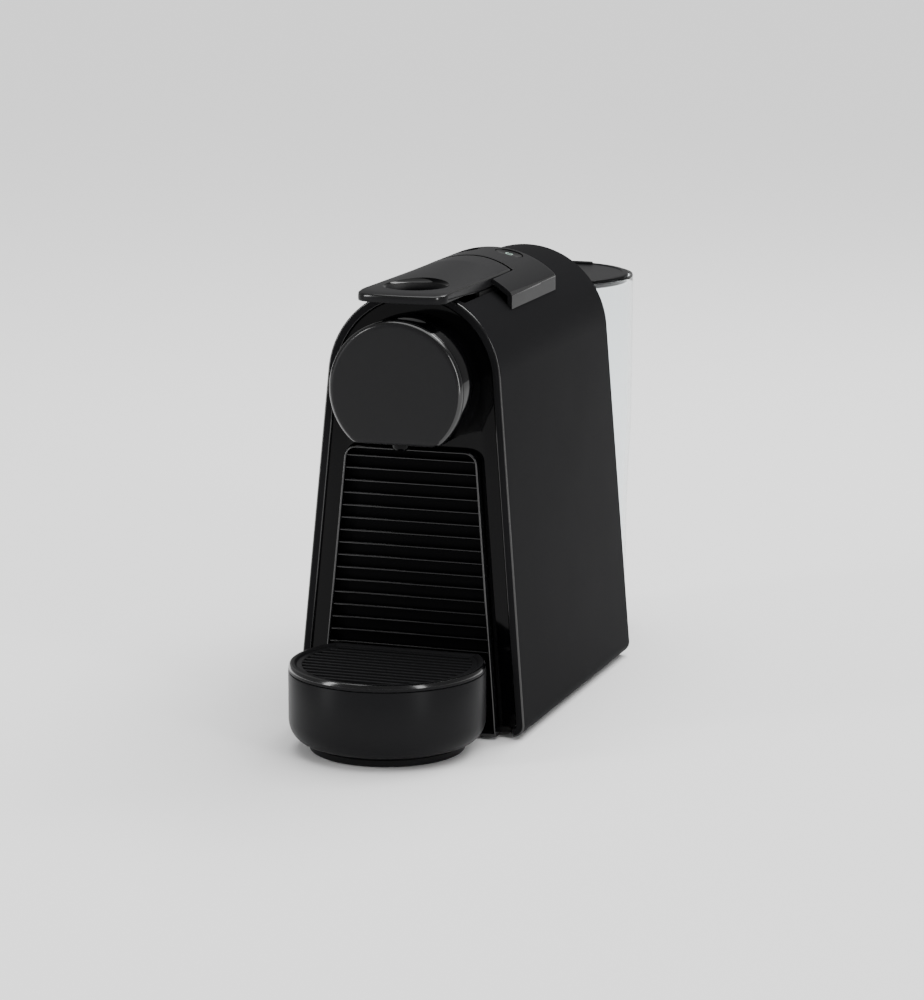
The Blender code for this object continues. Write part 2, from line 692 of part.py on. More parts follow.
def make_drawer():
    """Louvred front, capsule container, drip tray and its lift-out grid."""
    face, back = front_y(PANEL_SETBACK), front_y(PANEL_SETBACK + PANEL_THICK)
    proud = front_y(PANEL_SETBACK - DRAWER_PROUD)
    comb = [(back(DRAWER_FOOT), DRAWER_FOOT), (back(DRAWER_TOP + 5), DRAWER_TOP + 5)]
    comb.append((face(DRAWER_TOP + 5), DRAWER_TOP + 5))
    for k in range(FIN_COUNT):
        top = FIN_TOP - k * FIN_PITCH
        low = top - FIN_THICK
        comb += [(face(top), top), (proud(top) + 1.0, top)]
        comb += [(proud(low) + 1.0, low), (face(low), low)]
    comb.append((face(DRAWER_FOOT), DRAWER_FOOT))
    front = prism_x("drawer_front", comb, -60, 60, "gloss_black")
    outer = drawer_outline(DRAWER_OFFSET, DRAWER_FOOT, DRAWER_TOP)
    inner = drawer_outline(DRAWER_OFFSET + DRAWER_WALL, DRAWER_FOOT + 2.5, DRAWER_TOP - DRAWER_WALL)
    combine(front, prism_y("drawer_edge", outer, -120, -60, "inner_black"), "INTERSECT")
    rim = skin(
        "drawer_rim",
        [
            along_y(outer, proud),
            along_y(outer, front_y(PANEL_SETBACK + 1.0)),
            along_y(inner, front_y(PANEL_SETBACK + 1.0)),
            along_y(inner, proud),
        ],
        "gloss_black",
        ring=True,
    )
    join(front, rim)

    wall, foot, top = 1.6, 6.0, 122.0
    half, near, far = 30.5, -80.2, 0.5
    outside = [(-half, near), (half, near), (half, far), (-half, far)]
    inside = [(-half + wall, near + wall), (half - wall, near + wall), (half - wall, far - wall)]
    inside.append((-half + wall, far - wall))
    levels = ((outside, foot), (outside, top), (inside, top), (inside, foot + wall))
    loops = [[(x, y, z) for x, y in outline] for outline, z in levels]
    container = skin("capsule_container", loops, "inner_black")

    cut_y, inner_cut = DRUM_CUT_Y, DRUM_CUT_Y - DRUM_WALL
    levels = [
        (34.8, cut_y - 6, 0.4), (34.8, cut_y - 6, 3.2), (34.0, cut_y - 6, 4.6), (37.4, cut_y, 4.8),
        (40.6, cut_y, 6.6), (43.0, cut_y, 10.0), (DRUM_R, cut_y, 14.5), (DRUM_R, cut_y, DRUM_SEAM),
        (DRUM_R - DRUM_WALL, inner_cut, DRUM_SEAM), (DRUM_R - DRUM_WALL, inner_cut, 14.5),
        (39.0, inner_cut, 8.6), (36.0, inner_cut, 7.4),
    ]
    tray = flat_round_skin("drip_tray", levels, DRUM_Y, "satin_black")

    low = DRUM_SEAM + GAP
    levels = [
        (DRUM_R - 0.1, cut_y, low), (DRUM_R - 0.2, cut_y, low + 1.2), (DRUM_R - 0.9, cut_y, GRID_TOP - 0.5),
        (DRUM_R - 2.0, cut_y, GRID_TOP), (DRUM_R - 3.4, cut_y - 1.2, GRID_TOP - 0.3),
        (DRUM_R - 3.8, cut_y - 1.6, GRID_TOP - 1.0),
    ]
    grid = flat_round_skin("drip_grid", levels, DRUM_Y, "soft_black")
    slot_half = RIDGE_PITCH / 2 - 0.9
    y = DRUM_CUT_Y - 5.0
    while y > DRUM_Y - DRUM_R + 7.0:
        reach = math.sqrt((DRUM_R - 6.0) ** 2 - (abs(y - DRUM_Y) + slot_half) ** 2)
        start, end = (-reach, y - slot_half, 30), (reach, y + slot_half, 45)
        cut(grid, box(f"grid_slot_{int(-y)}", start, end, "inner_black"))
        y -= RIDGE_PITCH
    hang("drawer_axis", (0, DRUM_Y, 0), front, container, tray)
    hang("grid_axis", (0, DRUM_Y, DRUM_SEAM), grid)


# ---------------------------------------------------------------- water tank


def make_tank():
    """Clear tank with its hinged lid and foot valve, and the cradle it stands in."""
    flat, wall = TANK_FLAT_Y, TANK_WALL
    outside = (
        (37.0, TANK_FOOT), (38.6, 18.5), (39.0, 35.0), (39.2, 64.0), (41.0, 107.0), (TANK_RIM_R, TANK_TOP)
    )
    levels = [(radius, flat, z) for radius, z in outside]
    for radius, z in reversed(outside):
        floor = 20.2 if z > 18 else 18.6
        levels.append((radius - wall, flat + wall, max(z, floor)))
    tank = flat_round_skin("water_tank", levels, TANK_Y, "clear_plastic")
    cut(tank, rod("valve_hole", (0, VALVE_Y, 10), (0, VALVE_Y, 25), 6.0, "inner_black"))

    low = LID_TOP - LID_THICK
    near = LID_HINGE_Y + 2.6
    levels = [
        (LID_R - 0.6, near + 0.4, low), (LID_R, near, low + 0.4),
        (LID_R, near, LID_TOP - 0.4), (LID_R - 0.5, near + 0.4, LID_TOP),
    ]
    lid = flat_round_skin("tank_lid", levels, TANK_Y, "satin_black")
    start, end = (-18.5, LID_HINGE_Y + 1.4, low + 0.2), (18.5, near + 3, low + 2.6)
    join(lid, box("lid_web", start, end, "satin_black"))
    start, end = (-19, LID_HINGE_Y, LID_HINGE_Z), (19, LID_HINGE_Y, LID_HINGE_Z)
    join(lid, rod("lid_barrel", start, end, 2.2, "satin_black"))
    start, end = (-40, LID_HINGE_Y, LID_HINGE_Z), (40, LID_HINGE_Y, LID_HINGE_Z)
    cut(lid, rod("lid_bore", start, end, 1.3, "inner_black"))
    start, end = (-21.5, LID_HINGE_Y, LID_HINGE_Z), (21.5, LID_HINGE_Y, LID_HINGE_Z)
    pin = rod("lid_hinge_pin", start, end, 1.0, "steel")

    neck = [(5.6, 9.0), (5.6, 18.9), (8.5, 18.9), (8.5, 20.6), (3.4, 20.6), (3.4, 9.0)]
    body = turned("tank_valve", neck, (0, VALVE_Y, 0), (0, 0, 1), "white_plastic", 24, ring=True)
    stem = [(2.4, 9.6), (2.4, 20.9), (6.0, 20.9), (6.0, 22.4), (1.5, 23.0), (1.5, 25.0)]
    plunger = turned("valve_plunger", stem, (0, VALVE_Y, 0), (0, 0, 1), "grey_plastic", 20)
    hang("tank_axis", (0, TANK_Y, TANK_FOOT), tank, pin, body)
    hang("lid_axis", (0, LID_HINGE_Y, LID_HINGE_Z), lid)
    hang("valve_axis", (0, VALVE_Y, TANK_FOOT), plunger)

    near = REAR_Y - 2.6
    outline = [(-TANK_LEDGE_R, near), (TANK_LEDGE_R, near)]
    outline += arc((0, TANK_Y), TANK_LEDGE_R, 0, math.pi, 28)
    cradle = prism_z("tank_cradle", outline, 5.1, TANK_FOOT - GAP, "satin_black")
    cut(cradle, rod("socket", (0, VALVE_Y, 6), (0, VALVE_Y, 20), 9.2, "inner_black", 32))
    seal = [(6.0, 10.0), (8.9, 10.0), (8.9, 13.0), (6.0, 13.0)]
    turned("tank_seal", seal, (0, VALVE_Y, 0), (0, 0, 1), "rubber", 32, ring=True)


# ---------------------------------------------------------------- water works and electrics


def make_water_works():
    """Pump, flow meter, thermoblock, boards and the hoses between them."""
    turned(
        "pump_body",
        [(6, 16), (9, 18), (9, 34), (11, 36), (11, 92), (7, 94), (7, 104), (4, 106), (4, 114)],
        (-20, 38, 0),
        (0, 0, 1),
        "white_plastic",
        24,
    )
    coil = box("pump_coil", (-38, 20, 42), (-2, 56, 84), "steel")
    cut(coil, rod("coil_bore", (-20, 38, 30), (-20, 38, 100), 11.3, "inner_black"))
    for z, word in ((23.0, "lower"), (96.5, "upper")):
        mount = box(f"pump_mount_{word}", (-38, 22, z), (-2, 54, z + 5), "rubber")
        start, end = (-20, 38, z - 9), (-20, 38, z + 14)
        cut(mount, rod(f"mount_bore_{word}", start, end, 9.3, "inner_black"))
    turned("flow_meter", [(13, 0), (13, 12), (4, 12), (4, 18)], (24, 40, 12), (0, 0, 1), "white_plastic", 28)
    block = box("thermoblock", (-26, 10, 112), (26, 34, 150), "aluminium")
    join(block, rod("block_outlet", (0, 6, 130), (0, 12, 130), 3.0, "brass", 16))
    box("thermal_fuse", (8, 34.3, 120), (20, 37.3, 142), "white_plastic")
    box("power_board", (0, 62, 46), (40, 63.6, 118), "circuit_green")
    tube("tank_hose", TANK_HOSE, 2.0, "hose")
    tube("suction_hose", SUCTION_HOSE, 2.0, "hose")
    tube("pressure_hose", PRESSURE_HOSE, 1.8, "hose")


def clear_scene():
    for thing in list(bpy.data.objects):
        bpy.data.objects.remove(thing, do_unlink=True)


def main():
    clear_scene()
    bpy.context.scene.unit_settings.scale_length = 1.0
    make_outer_shell()
    make_front_panel()
    make_nose()
    make_outlet_duct()
    make_saddle()
    make_buttons()
    make_base()
    make_lever()
    make_brew_frame()
    make_cage()
    make_drawer()
    make_tank()
    make_water_works()


main()
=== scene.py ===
"""Looks of a pod coffee machine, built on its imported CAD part.

World frame: X to the right seen from the front, Y to the back, Z up, origin under the
middle of the machine. Shape formulas are in millimetres, and become metres where a mesh
is made. Every visible skin is a fine version of the CAD surface that it stands for.
"""

import logging
import math
from dataclasses import dataclass, field
from enum import Enum
from typing import Callable, Sequence

import bmesh
import bpy
import numpy as np
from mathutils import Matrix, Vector


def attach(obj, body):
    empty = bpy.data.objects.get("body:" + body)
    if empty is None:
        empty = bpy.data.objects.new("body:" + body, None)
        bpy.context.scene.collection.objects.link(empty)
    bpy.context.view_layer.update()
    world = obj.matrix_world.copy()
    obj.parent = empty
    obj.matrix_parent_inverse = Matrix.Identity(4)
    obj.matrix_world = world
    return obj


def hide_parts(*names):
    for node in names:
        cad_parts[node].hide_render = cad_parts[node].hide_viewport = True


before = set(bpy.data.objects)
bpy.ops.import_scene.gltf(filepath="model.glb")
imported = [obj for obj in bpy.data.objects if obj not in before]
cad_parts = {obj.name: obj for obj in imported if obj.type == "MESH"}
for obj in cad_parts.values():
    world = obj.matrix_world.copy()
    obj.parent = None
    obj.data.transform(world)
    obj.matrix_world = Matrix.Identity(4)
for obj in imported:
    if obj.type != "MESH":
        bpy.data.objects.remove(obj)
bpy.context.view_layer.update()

log = logging.getLogger("scene")

MM = 0.001
QUARTER = math.pi / 2
CREASE = 32.0  # degrees above which an edge is shown sharp
Depth = Callable[[np.ndarray], np.ndarray]
Chooser = Callable[[np.ndarray, np.ndarray], np.ndarray]
Thing = bpy.types.Object


# ---------------------------------------------------------------- names


class Body(Enum):
    """The rigid bodies that pieces ride on."""

    HOUSING = "housing"
    LEVER = "lever"
    DRAWER = "drawer"
    GRID = "grid"
    TANK = "tank"
    LID = "lid"
    LEFT_BUTTON = "left_button"
    RIGHT_BUTTON = "right_button"


class Slot(Enum):
    """The record's material slots."""

    SATIN_BLACK = "satin_black"
    GLOSS_BLACK = "gloss_black"
    SOFT_BLACK = "soft_black"
    INNER_BLACK = "inner_black"
    RUBBER = "rubber"
    CLEAR = "clear_plastic"
    WHITE = "white_plastic"
    GREY = "grey_plastic"
    STEEL = "steel"
    ALUMINIUM = "aluminium"
    BRASS = "brass"
    CIRCUIT = "circuit_green"
    HOSE = "hose"


# ---------------------------------------------------------------- finishes


def linear(colour: str) -> tuple[float, float, float, float]:
    """A hex sRGB colour as linear light.

    Args:
        colour: six hex digits, red first.

    Returns:
        Red, green, blue and an alpha of 1.
    """
    parts = [int(colour[k : k + 2], 16) / 255 for k in (0, 2, 4)]
    red, green, blue = (p / 12.92 if p <= 0.04045 else ((p + 0.055) / 1.055) ** 2.4 for p in parts)
    return red, green, blue, 1.0


def node(tree: bpy.types.NodeTree, kind: str, settings: dict | None = None, **inputs) -> bpy.types.Node:
    """Adds one shader node.

    Args:
        tree: the node tree that it goes into.
        kind: Blender's name of the node type.
        settings: attributes to set on the node.
        **inputs: a socket's name with _ for spaces, and a value or an output to link.

    Returns:
        The new node.
    """
    made = tree.nodes.new(kind)
    for name, value in (settings or {}).items():
        setattr(made, name, value)
    for name, value in inputs.items():
        socket = made.inputs[name.replace("_", " ")]
        if isinstance(value, bpy.types.NodeSocket):
            tree.links.new(value, socket)
        else:
            socket.default_value = value
    return made


@dataclass(frozen=True)
class Finish:
    """A surface: its colour, its gloss, and a fine grain that breaks up the reflections."""

    colour: str = "202020"
    roughness: float = 0.4
    metallic: float = 0.0
    specular: float = 0.5
    coat: float = 0.0
    transmission: float = 0.0
    ior: float = 1.5
    grain_mm: float = 0.35
    grain_depth_mm: float = 0.004
    stretch: tuple[float, float, float] = (1.0, 1.0, 1.0)
    patch_mm: float = 45.0
    patchiness: float = 0.012
    glow: str = "000000"
    glow_strength: float = 0.0

    def material(self) -> bpy.types.Material:
        """The finish as a node material, made once.

        Returns:
            The material.
        """
        name = type(self).__name__
        found = bpy.data.materials.get(name)
        if found:
            return found
        made = bpy.data.materials.new(name)
        made.use_nodes = True
        tree = made.node_tree
        tree.nodes.clear()
        place = node(tree, "ShaderNodeTexCoord").outputs["Object"]
        fine = [value / (self.grain_mm * MM) for value in self.stretch]
        grain_place = node(tree, "ShaderNodeMapping", Vector=place, Scale=fine)
        grain = node(
            tree, "ShaderNodeTexNoise", Vector=grain_place.outputs["Vector"], Scale=1.0, Detail=2.0
        )
        patch_place = node(
            tree, "ShaderNodeMapping", Vector=place, Scale=[1 / (self.patch_mm * MM)] * 3
        )
        patch = node(
            tree, "ShaderNodeTexNoise", Vector=patch_place.outputs["Vector"], Scale=1.0, Detail=3.0
        )
        rough = node(
            tree,
            "ShaderNodeMapRange",
            Value=patch.outputs["Fac"],
            From_Min=0.3,
            From_Max=0.7,
            To_Min=max(0.0, self.roughness - self.patchiness),
            To_Max=self.roughness + self.patchiness,
        )
        bump = node(
            tree,
            "ShaderNodeBump",
            Height=grain.outputs["Fac"],
            Distance=self.grain_depth_mm * MM,
            Strength=0.6,
        )
        shader = node(
            tree,
            "ShaderNodeBsdfPrincipled",
            Base_Color=linear(self.colour),
            Metallic=self.metallic,
            Roughness=rough.outputs["Result"],
            IOR=self.ior,
            Normal=bump.outputs["Normal"],
            Specular_IOR_Level=self.specular,
            Transmission_Weight=self.transmission,
            Coat_Weight=self.coat,
            Coat_Roughness=0.03,
            Emission_Color=linear(self.glow),
            Emission_Strength=self.glow_strength,
        )
        out = node(tree, "ShaderNodeOutputMaterial")
        tree.links.new(shader.outputs["BSDF"], out.inputs["Surface"])
        return made


@dataclass(frozen=True)
class SatinMouldedAbs(Finish):
    """Spark-eroded black ABS of the shell: an even charcoal that hardly mirrors anything."""

    colour: str = "1a1a1b"
    roughness: float = 0.42
    specular: float = 0.003
    grain_mm: float = 0.28
    grain_depth_mm: float = 0.006


@dataclass(frozen=True)
class PolishedAbs(Finish):
    """Mirror-polished black ABS: deep black that shows the lamps as crisp upright bands."""

    colour: str = "030304"
    roughness: float = 0.07
    specular: float = 0.1
    patchiness: float = 0.01
    grain_mm: float = 1.4
    grain_depth_mm: float = 0.0006


@dataclass(frozen=True)
class SilkAbs(Finish):
    """Silk-etched black ABS of lever, bridge, tray and lid: greys up where it faces a lamp."""

    colour: str = "1a1a1b"
    roughness: float = 0.33
    specular: float = 0.05
    grain_mm: float = 0.22
    grain_depth_mm: float = 0.005


@dataclass(frozen=True)
class SpunSilkAbs(SilkAbs):
    """The nose disc's finer etch: a shade lighter than the bridge at the same tilt."""

    specular: float = 0.12


@dataclass(frozen=True)
class PolishedDrum(PolishedAbs):
    """Buffed black flank behind the nose disc: black, with a lamp drawn out to a thin arc."""

    roughness: float = 0.1
    specular: float = 0.22


@dataclass(frozen=True)
class LacqueredEdge(Finish):
    """Buffed black edges and rims: thin bright lines wherever they turn towards a lamp."""

    colour: str = "040405"
    roughness: float = 0.16
    specular: float = 0.6
    grain_mm: float = 1.4
    grain_depth_mm: float = 0.0006


@dataclass(frozen=True)
class RecessBlackAndPaintedShade(Finish):
    """Black plate behind the fins, and painted shade on the finger hole's wall: almost no light comes back
    from them.
    """

    colour: str = "050506"
    roughness: float = 0.5
    specular: float = 0.03
    grain_mm: float = 0.5


@dataclass(frozen=True)
class DullNylonAndPaintedShade(Finish):
    """Unpolished black nylon inside the machine, also put on the lever's cams as painted shade: swallows
    light, so openings read as dark.
    """

    colour: str = "0b0b0b"
    roughness: float = 0.62
    specular: float = 0.25
    grain_mm: float = 0.6
    grain_depth_mm: float = 0.01


@dataclass(frozen=True)
class EpdmRubber(Finish):
    """Black EPDM rubber: flat and slightly brownish, without a highlight."""

    colour: str = "171615"
    roughness: float = 0.85
    grain_mm: float = 0.5
    grain_depth_mm: float = 0.012


@dataclass(frozen=True)
class ClearCopolyester(Finish):
    """Clear copolyester of the tank: see-through, with bright rims where light runs in the wall."""

    colour: str = "f7fbfc"
    roughness: float = 0.03
    patchiness: float = 0.01
    transmission: float = 1.0
    ior: float = 1.45
    grain_mm: float = 9.0
    grain_depth_mm: float = 0.0006


@dataclass(frozen=True)
class NaturalPolypropylene(Finish):
    """Milky polypropylene of the brew and water parts: warm white, waxy, softly shining."""

    colour: str = "dcd9cf"
    roughness: float = 0.42
    grain_mm: float = 0.8


@dataclass(frozen=True)
class GlassFilledNylon(Finish):
    """Grey glass-filled nylon: mid grey with a faint fibre streak along its length."""

    colour: str = "6d6e70"
    roughness: float = 0.5
    grain_mm: float = 0.5
    grain_depth_mm: float = 0.01
    stretch: tuple[float, float, float] = (1.0, 0.12, 1.0)


@dataclass(frozen=True)
class BrushedStainless(Finish):
    """Brushed stainless steel: bright, with fine lines that smear the highlights sideways."""

    colour: str = "c9cacb"
    roughness: float = 0.28
    metallic: float = 1.0
    grain_mm: float = 0.15
    grain_depth_mm: float = 0.006
    stretch: tuple[float, float, float] = (0.03, 1.0, 1.0)


@dataclass(frozen=True)
class CastAluminium(Finish):
    """Die-cast aluminium of the heater: pale grey with a pebbled skin."""

    colour: str = "c4c6c8"
    roughness: float = 0.45
    metallic: float = 1.0
    grain_mm: float = 0.9
    grain_depth_mm: float = 0.03


@dataclass(frozen=True)
class TurnedBrass(Finish):
    """Turned brass: warm yellow with a machined sheen."""

    colour: str = "c9a055"
    roughness: float = 0.3
    metallic: float = 1.0
    grain_mm: float = 0.2
    stretch: tuple[float, float, float] = (1.0, 0.05, 1.0)


@dataclass(frozen=True)
class CoatedCircuitBoard(Finish):
    """Green lacquered glass-fibre board: dark green with a varnish sheen."""

    colour: str = "14502a"
    roughness: float = 0.35
    coat: float = 0.4
    grain_mm: float = 0.7


@dataclass(frozen=True)
class SiliconeHose(Finish):
    """Translucent silicone hose: off-white and slightly glossy."""

    colour: str = "e2ded4"
    roughness: float = 0.3
    grain_mm: float = 1.2


@dataclass(frozen=True)
class BacklitPrint(Finish):
    """Light shining through a printed icon: a faint cool glow on the black key."""

    colour: str = "9fb4ab"
    roughness: float = 0.4
    glow: str = "bfe6d2"
    glow_strength: float = 0.55


@dataclass(frozen=True)
class PaleFloor(Finish):
    """Matt white paper under the machine: only a soft shadow shows on it."""

    colour: str = "fafafa"
    roughness: float = 0.9
    specular: float = 0.1
    grain_mm: float = 2.0
    grain_depth_mm: float = 0.01


# ---------------------------------------------------------------- outlines


def arc(centre: Sequence[float], radius: float, start: float, end: float, steps: int) -> np.ndarray:
    """Points of a circular arc.

    Args:
        centre: the circle's middle.
        radius: its radius.
        start: first angle in radians.
        end: last angle in radians.
        steps: how many equal steps lie between them.

    Returns:
        An array of steps + 1 points with two coordinates.
    """
    angle = np.linspace(start, end, steps + 1)
    return np.stack([centre[0] + radius * np.cos(angle), centre[1] + radius * np.sin(angle)], axis=1)


def mirrored(half: np.ndarray) -> np.ndarray:
    """A full outline from its right half, which runs from the bottom up to the middle.

    Args:
        half: points (x, z) that end at x = 0.

    Returns:
        The points from the left foot over the top to the right foot.
    """
    return np.concatenate([half * (-1, 1), half[-2::-1]])


def spline(knots: Sequence[Sequence[float]], steps: int) -> np.ndarray:
    """A smooth curve through knots: the Catmull-Rom cubic of each four neighbours.

    Args:
        knots: points with any number of coordinates.
        steps: how many pieces each span is cut into.

    Returns:
        The points along the curve, both ends included.
    """
    given = np.asarray(knots, float)
    whole = np.concatenate([given[:1], given, given[-1:]])
    a, b, c, d = (whole[k : len(whole) - 3 + k, None] for k in range(4))
    t = (np.arange(steps) / steps)[None, :, None]
    bends = 2 * a - 5 * b + 4 * c - d
    body = 0.5 * (2 * b + (c - a) * t + bends * t**2 + (3 * b - a - 3 * c + d) * t**3)
    return np.concatenate([body.reshape(-1, given.shape[1]), given[-1:]])


def on_plane(outline: np.ndarray, depth: Depth | float) -> np.ndarray:
    """An (x, z) outline placed in depth.

    Args:
        outline: points (x, z).
        depth: y, as a number or as a function of z.

    Returns:
        Points (x, y, z).
    """
    y = depth(outline[:, 1]) if callable(depth) else np.full(len(outline), depth)
    return np.stack([outline[:, 0], y, outline[:, 1]], axis=1)


def round_over(steps: int = 6) -> tuple[np.ndarray, np.ndarray]:
    """A quarter turn as two shares: how far in, and how far along.

    Args:
        steps: how many pieces the quarter is cut into.

    Returns:
        1 - cos and sin of the angles from 0 to 90 degrees.
    """
    turn = np.linspace(0, QUARTER, steps + 1)
    return 1 - np.cos(turn), np.sin(turn)


# ---------------------------------------------------------------- meshes


def mesh_object(
    name: str, points: np.ndarray, faces: Sequence[np.ndarray], crease: float = CREASE
) -> Thing:
    """A closed mesh object with its faces turned outwards.

    Args:
        name: the object's name.
        points: (n, 3) points in millimetres.
        faces: arrays of corner numbers, one row for each face.
        crease: angle in degrees above which an edge is shown sharp.

    Returns:
        The object, linked to the scene.
    """
    corners = np.concatenate([rows.ravel() for rows in faces]).astype(np.int32)
    sizes = np.concatenate([np.full(len(rows), rows.shape[1]) for rows in faces]).astype(np.int32)
    mesh = bpy.data.meshes.new(name)
    mesh.vertices.add(len(points))
    mesh.vertices.foreach_set("co", (np.asarray(points) * MM).astype(np.float32).ravel())
    mesh.loops.add(len(corners))
    mesh.loops.foreach_set("vertex_index", corners)
    mesh.polygons.add(len(sizes))
    mesh.polygons.foreach_set("loop_start", (np.cumsum(sizes) - sizes).astype(np.int32))
    mesh.update(calc_edges=True)
    finish_mesh(mesh, crease)
    made = bpy.data.objects.new(name, mesh)
    bpy.context.scene.collection.objects.link(made)
    return made


def finish_mesh(mesh: bpy.types.Mesh, crease: float) -> None:
    """Turns all faces outwards and marks the creases sharp.

    Args:
        mesh: the mesh to change.
        crease: angle in degrees above which an edge is shown sharp.
    """
    work = bmesh.new()
    work.from_mesh(mesh)
    bmesh.ops.recalc_face_normals(work, faces=work.faces)
    work.to_mesh(mesh)
    work.free()
    mesh.shade_smooth()
    mesh.set_sharp_from_angle(angle=math.radians(crease))


def tiles(rows: int, columns: int, ring: bool = False) -> np.ndarray:
    """Corner numbers of the four-sided faces of a grid whose columns close on themselves.

    Args:
        rows: how many loops there are.
        columns: points in each loop.
        ring: whether the last loop joins the first.

    Returns:
        One row of four corner numbers for each face.
    """
    down = np.arange(rows if ring else rows - 1)[:, None]
    across = np.arange(columns)[None, :]
    nxt = (across + 1) % columns
    below = (down + 1) % rows
    corners = [(down, across), (down, nxt), (below, nxt), (below, across)]
    return np.stack([row * columns + column for row, column in corners], axis=-1).reshape(-1, 4)


def skin(name: str, loops: Sequence[np.ndarray], ring: bool = False, crease: float = CREASE) -> Thing:
    """The surface that runs through loops of equal length, with flat ends unless it is a ring.

    Args:
        name: the object's name.
        loops: arrays of points in millimetres, each one a closed loop.
        ring: whether the last loop joins the first.
        crease: angle in degrees above which an edge is shown sharp.

    Returns:
        The closed object.
    """
    grid = np.asarray(loops, float)
    rows, columns = grid.shape[:2]
    faces = [tiles(rows, columns, ring)]
    if not ring:
        faces += [np.arange(columns)[None], np.arange((rows - 1) * columns, rows * columns)[None]]
    return mesh_object(name, grid.reshape(-1, 3), faces, crease)


def many_skins(name: str, stacks: np.ndarray) -> Thing:
    """Several equal skins with flat ends in one object.

    Args:
        name: the object's name.
        stacks: (count, rows, columns, 3) points in millimetres.

    Returns:
        The object, which holds one closed body for each stack.
    """
    count, rows, columns = stacks.shape[:3]
    start = (np.arange(count) * rows * columns)[:, None, None]
    sides = (tiles(rows, columns)[None] + start).reshape(-1, 4)
    ends = np.stack([np.arange(columns), np.arange((rows - 1) * columns, rows * columns)])
    return mesh_object(name, stacks.reshape(-1, 3), [sides, (ends[None] + start).reshape(-1, columns)])


def turned(
    name: str,
    profile: np.ndarray,
    base: Sequence[float],
    axis: Sequence[float] = (0, 0, 1),
    steps: int = 96,
    ring: bool = False,
) -> Thing:
    """A solid of revolution: each profile point (radius, height) becomes a circle about the axis.

    Args:
        name: the object's name.
        profile: points (radius, height along the axis).
        base: where height 0 is.
        axis: the axis direction.
        steps: points around.
        ring: whether the profile's last point joins its first.

    Returns:
        The closed object.
    """
    given = np.asarray(profile, float)
    angle = np.linspace(0, 2 * math.pi, steps, endpoint=False)
    radius, height = given[:, :1], given[:, 1:]
    local = np.stack([radius * np.cos(angle), radius * np.sin(angle), height + 0 * angle], axis=-1)
    turn = np.array(Vector((0, 0, 1)).rotation_difference(Vector(axis)).to_matrix())
    return skin(name, local @ turn.T + np.asarray(base, float), ring)


def rounded_profile(corners: Sequence[tuple[float, float, float]], steps: int = 5) -> np.ndarray:
    """A profile whose corners are rounded: a quadratic bend replaces each one.

    Args:
        corners: (radius, height, rounding) from end to end.
        steps: pieces in each bend.

    Returns:
        Points (radius, height).
    """
    given = np.asarray(corners, float)
    spots, size = given[:, :2], given[:, 2]
    before, after = np.roll(spots, 1, axis=0), np.roll(spots, -1, axis=0)
    t = np.linspace(0, 1, steps + 1)[None, :, None]

    def toward(other: np.ndarray) -> np.ndarray:
        """The point where the bend meets the straight line to a neighbour."""
        way = other - spots
        length = np.maximum(np.linalg.norm(way, axis=1, keepdims=True), 1e-9)
        return spots + way / length * np.minimum(size[:, None], 0.45 * length)

    start, end = toward(before)[:, None], toward(after)[:, None]
    bend = (1 - t) ** 2 * start + 2 * t * (1 - t) * spots[:, None] + t**2 * end
    sharp = size <= 0
    kept = [spots[k : k + 1] if sharp[k] else bend[k] for k in range(len(spots))]
    return np.concatenate(kept)


def extruded(name: str, outline: np.ndarray, low: float, high: float, edge: float = 0.0) -> Thing:
    """An (x, y) outline carried from one height to another, its two rims eased by a small slope.

    Args:
        name: the object's name.
        outline: points (x, y).
        low: lower height.
        high: upper height.
        edge: how far the rims are drawn in.

    Returns:
        The closed object.
    """
    middle = outline.mean(axis=0)
    reach = np.abs(outline - middle).max(axis=0)
    inward = 1 - edge / reach
    levels = [(low, 1.0), (high, 1.0)]
    if edge:
        levels = [(low, inward), (low + edge, 1.0), (high - edge, 1.0), (high, inward)]
    loops = []
    for height, scale in levels:
        flat = middle + (outline - middle) * scale
        loops.append(np.column_stack([flat, np.full(len(flat), height)]))
    return skin(name, loops)


def rounded_rectangle(half_x: float, near: float, far: float, corner: float, steps: int = 8) -> np.ndarray:
    """A rectangle about x = 0 with round corners.

    Args:
        half_x: half its width.
        near: its lower y.
        far: its upper y.
        corner: corner radius.
        steps: pieces in each corner.

    Returns:
        Points (x, y), anticlockwise.
    """
    centres = [(half_x - corner, near + corner, -1), (half_x - corner, far - corner, 0)]
    centres += [(corner - half_x, far - corner, 1), (corner - half_x, near + corner, 2)]
    parts = [arc((x, y), corner, turn * QUARTER, (turn + 1) * QUARTER, steps) for x, y, turn in centres]
    return np.concatenate(parts)


def carved(target: Thing, *cutters: Thing, crease: float = CREASE) -> Thing:
    """Takes the cutters out of the target and removes them from the scene.

    Args:
        target: the object to cut.
        *cutters: closed objects.
        crease: angle in degrees above which an edge is shown sharp.

    Returns:
        The target with its new mesh.
    """
    for cutter in cutters:
        modifier = target.modifiers.new(cutter.name, "BOOLEAN")
        modifier.operation = "DIFFERENCE"
        modifier.solver = "EXACT"
        modifier.object = cutter
    graph = bpy.context.evaluated_depsgraph_get()
    mesh = bpy.data.meshes.new_from_object(target.evaluated_get(graph))
    target.modifiers.clear()
    target.data = mesh
    finish_mesh(mesh, crease)
    for cutter in cutters:
        bpy.data.objects.remove(cutter, do_unlink=True)
    return target


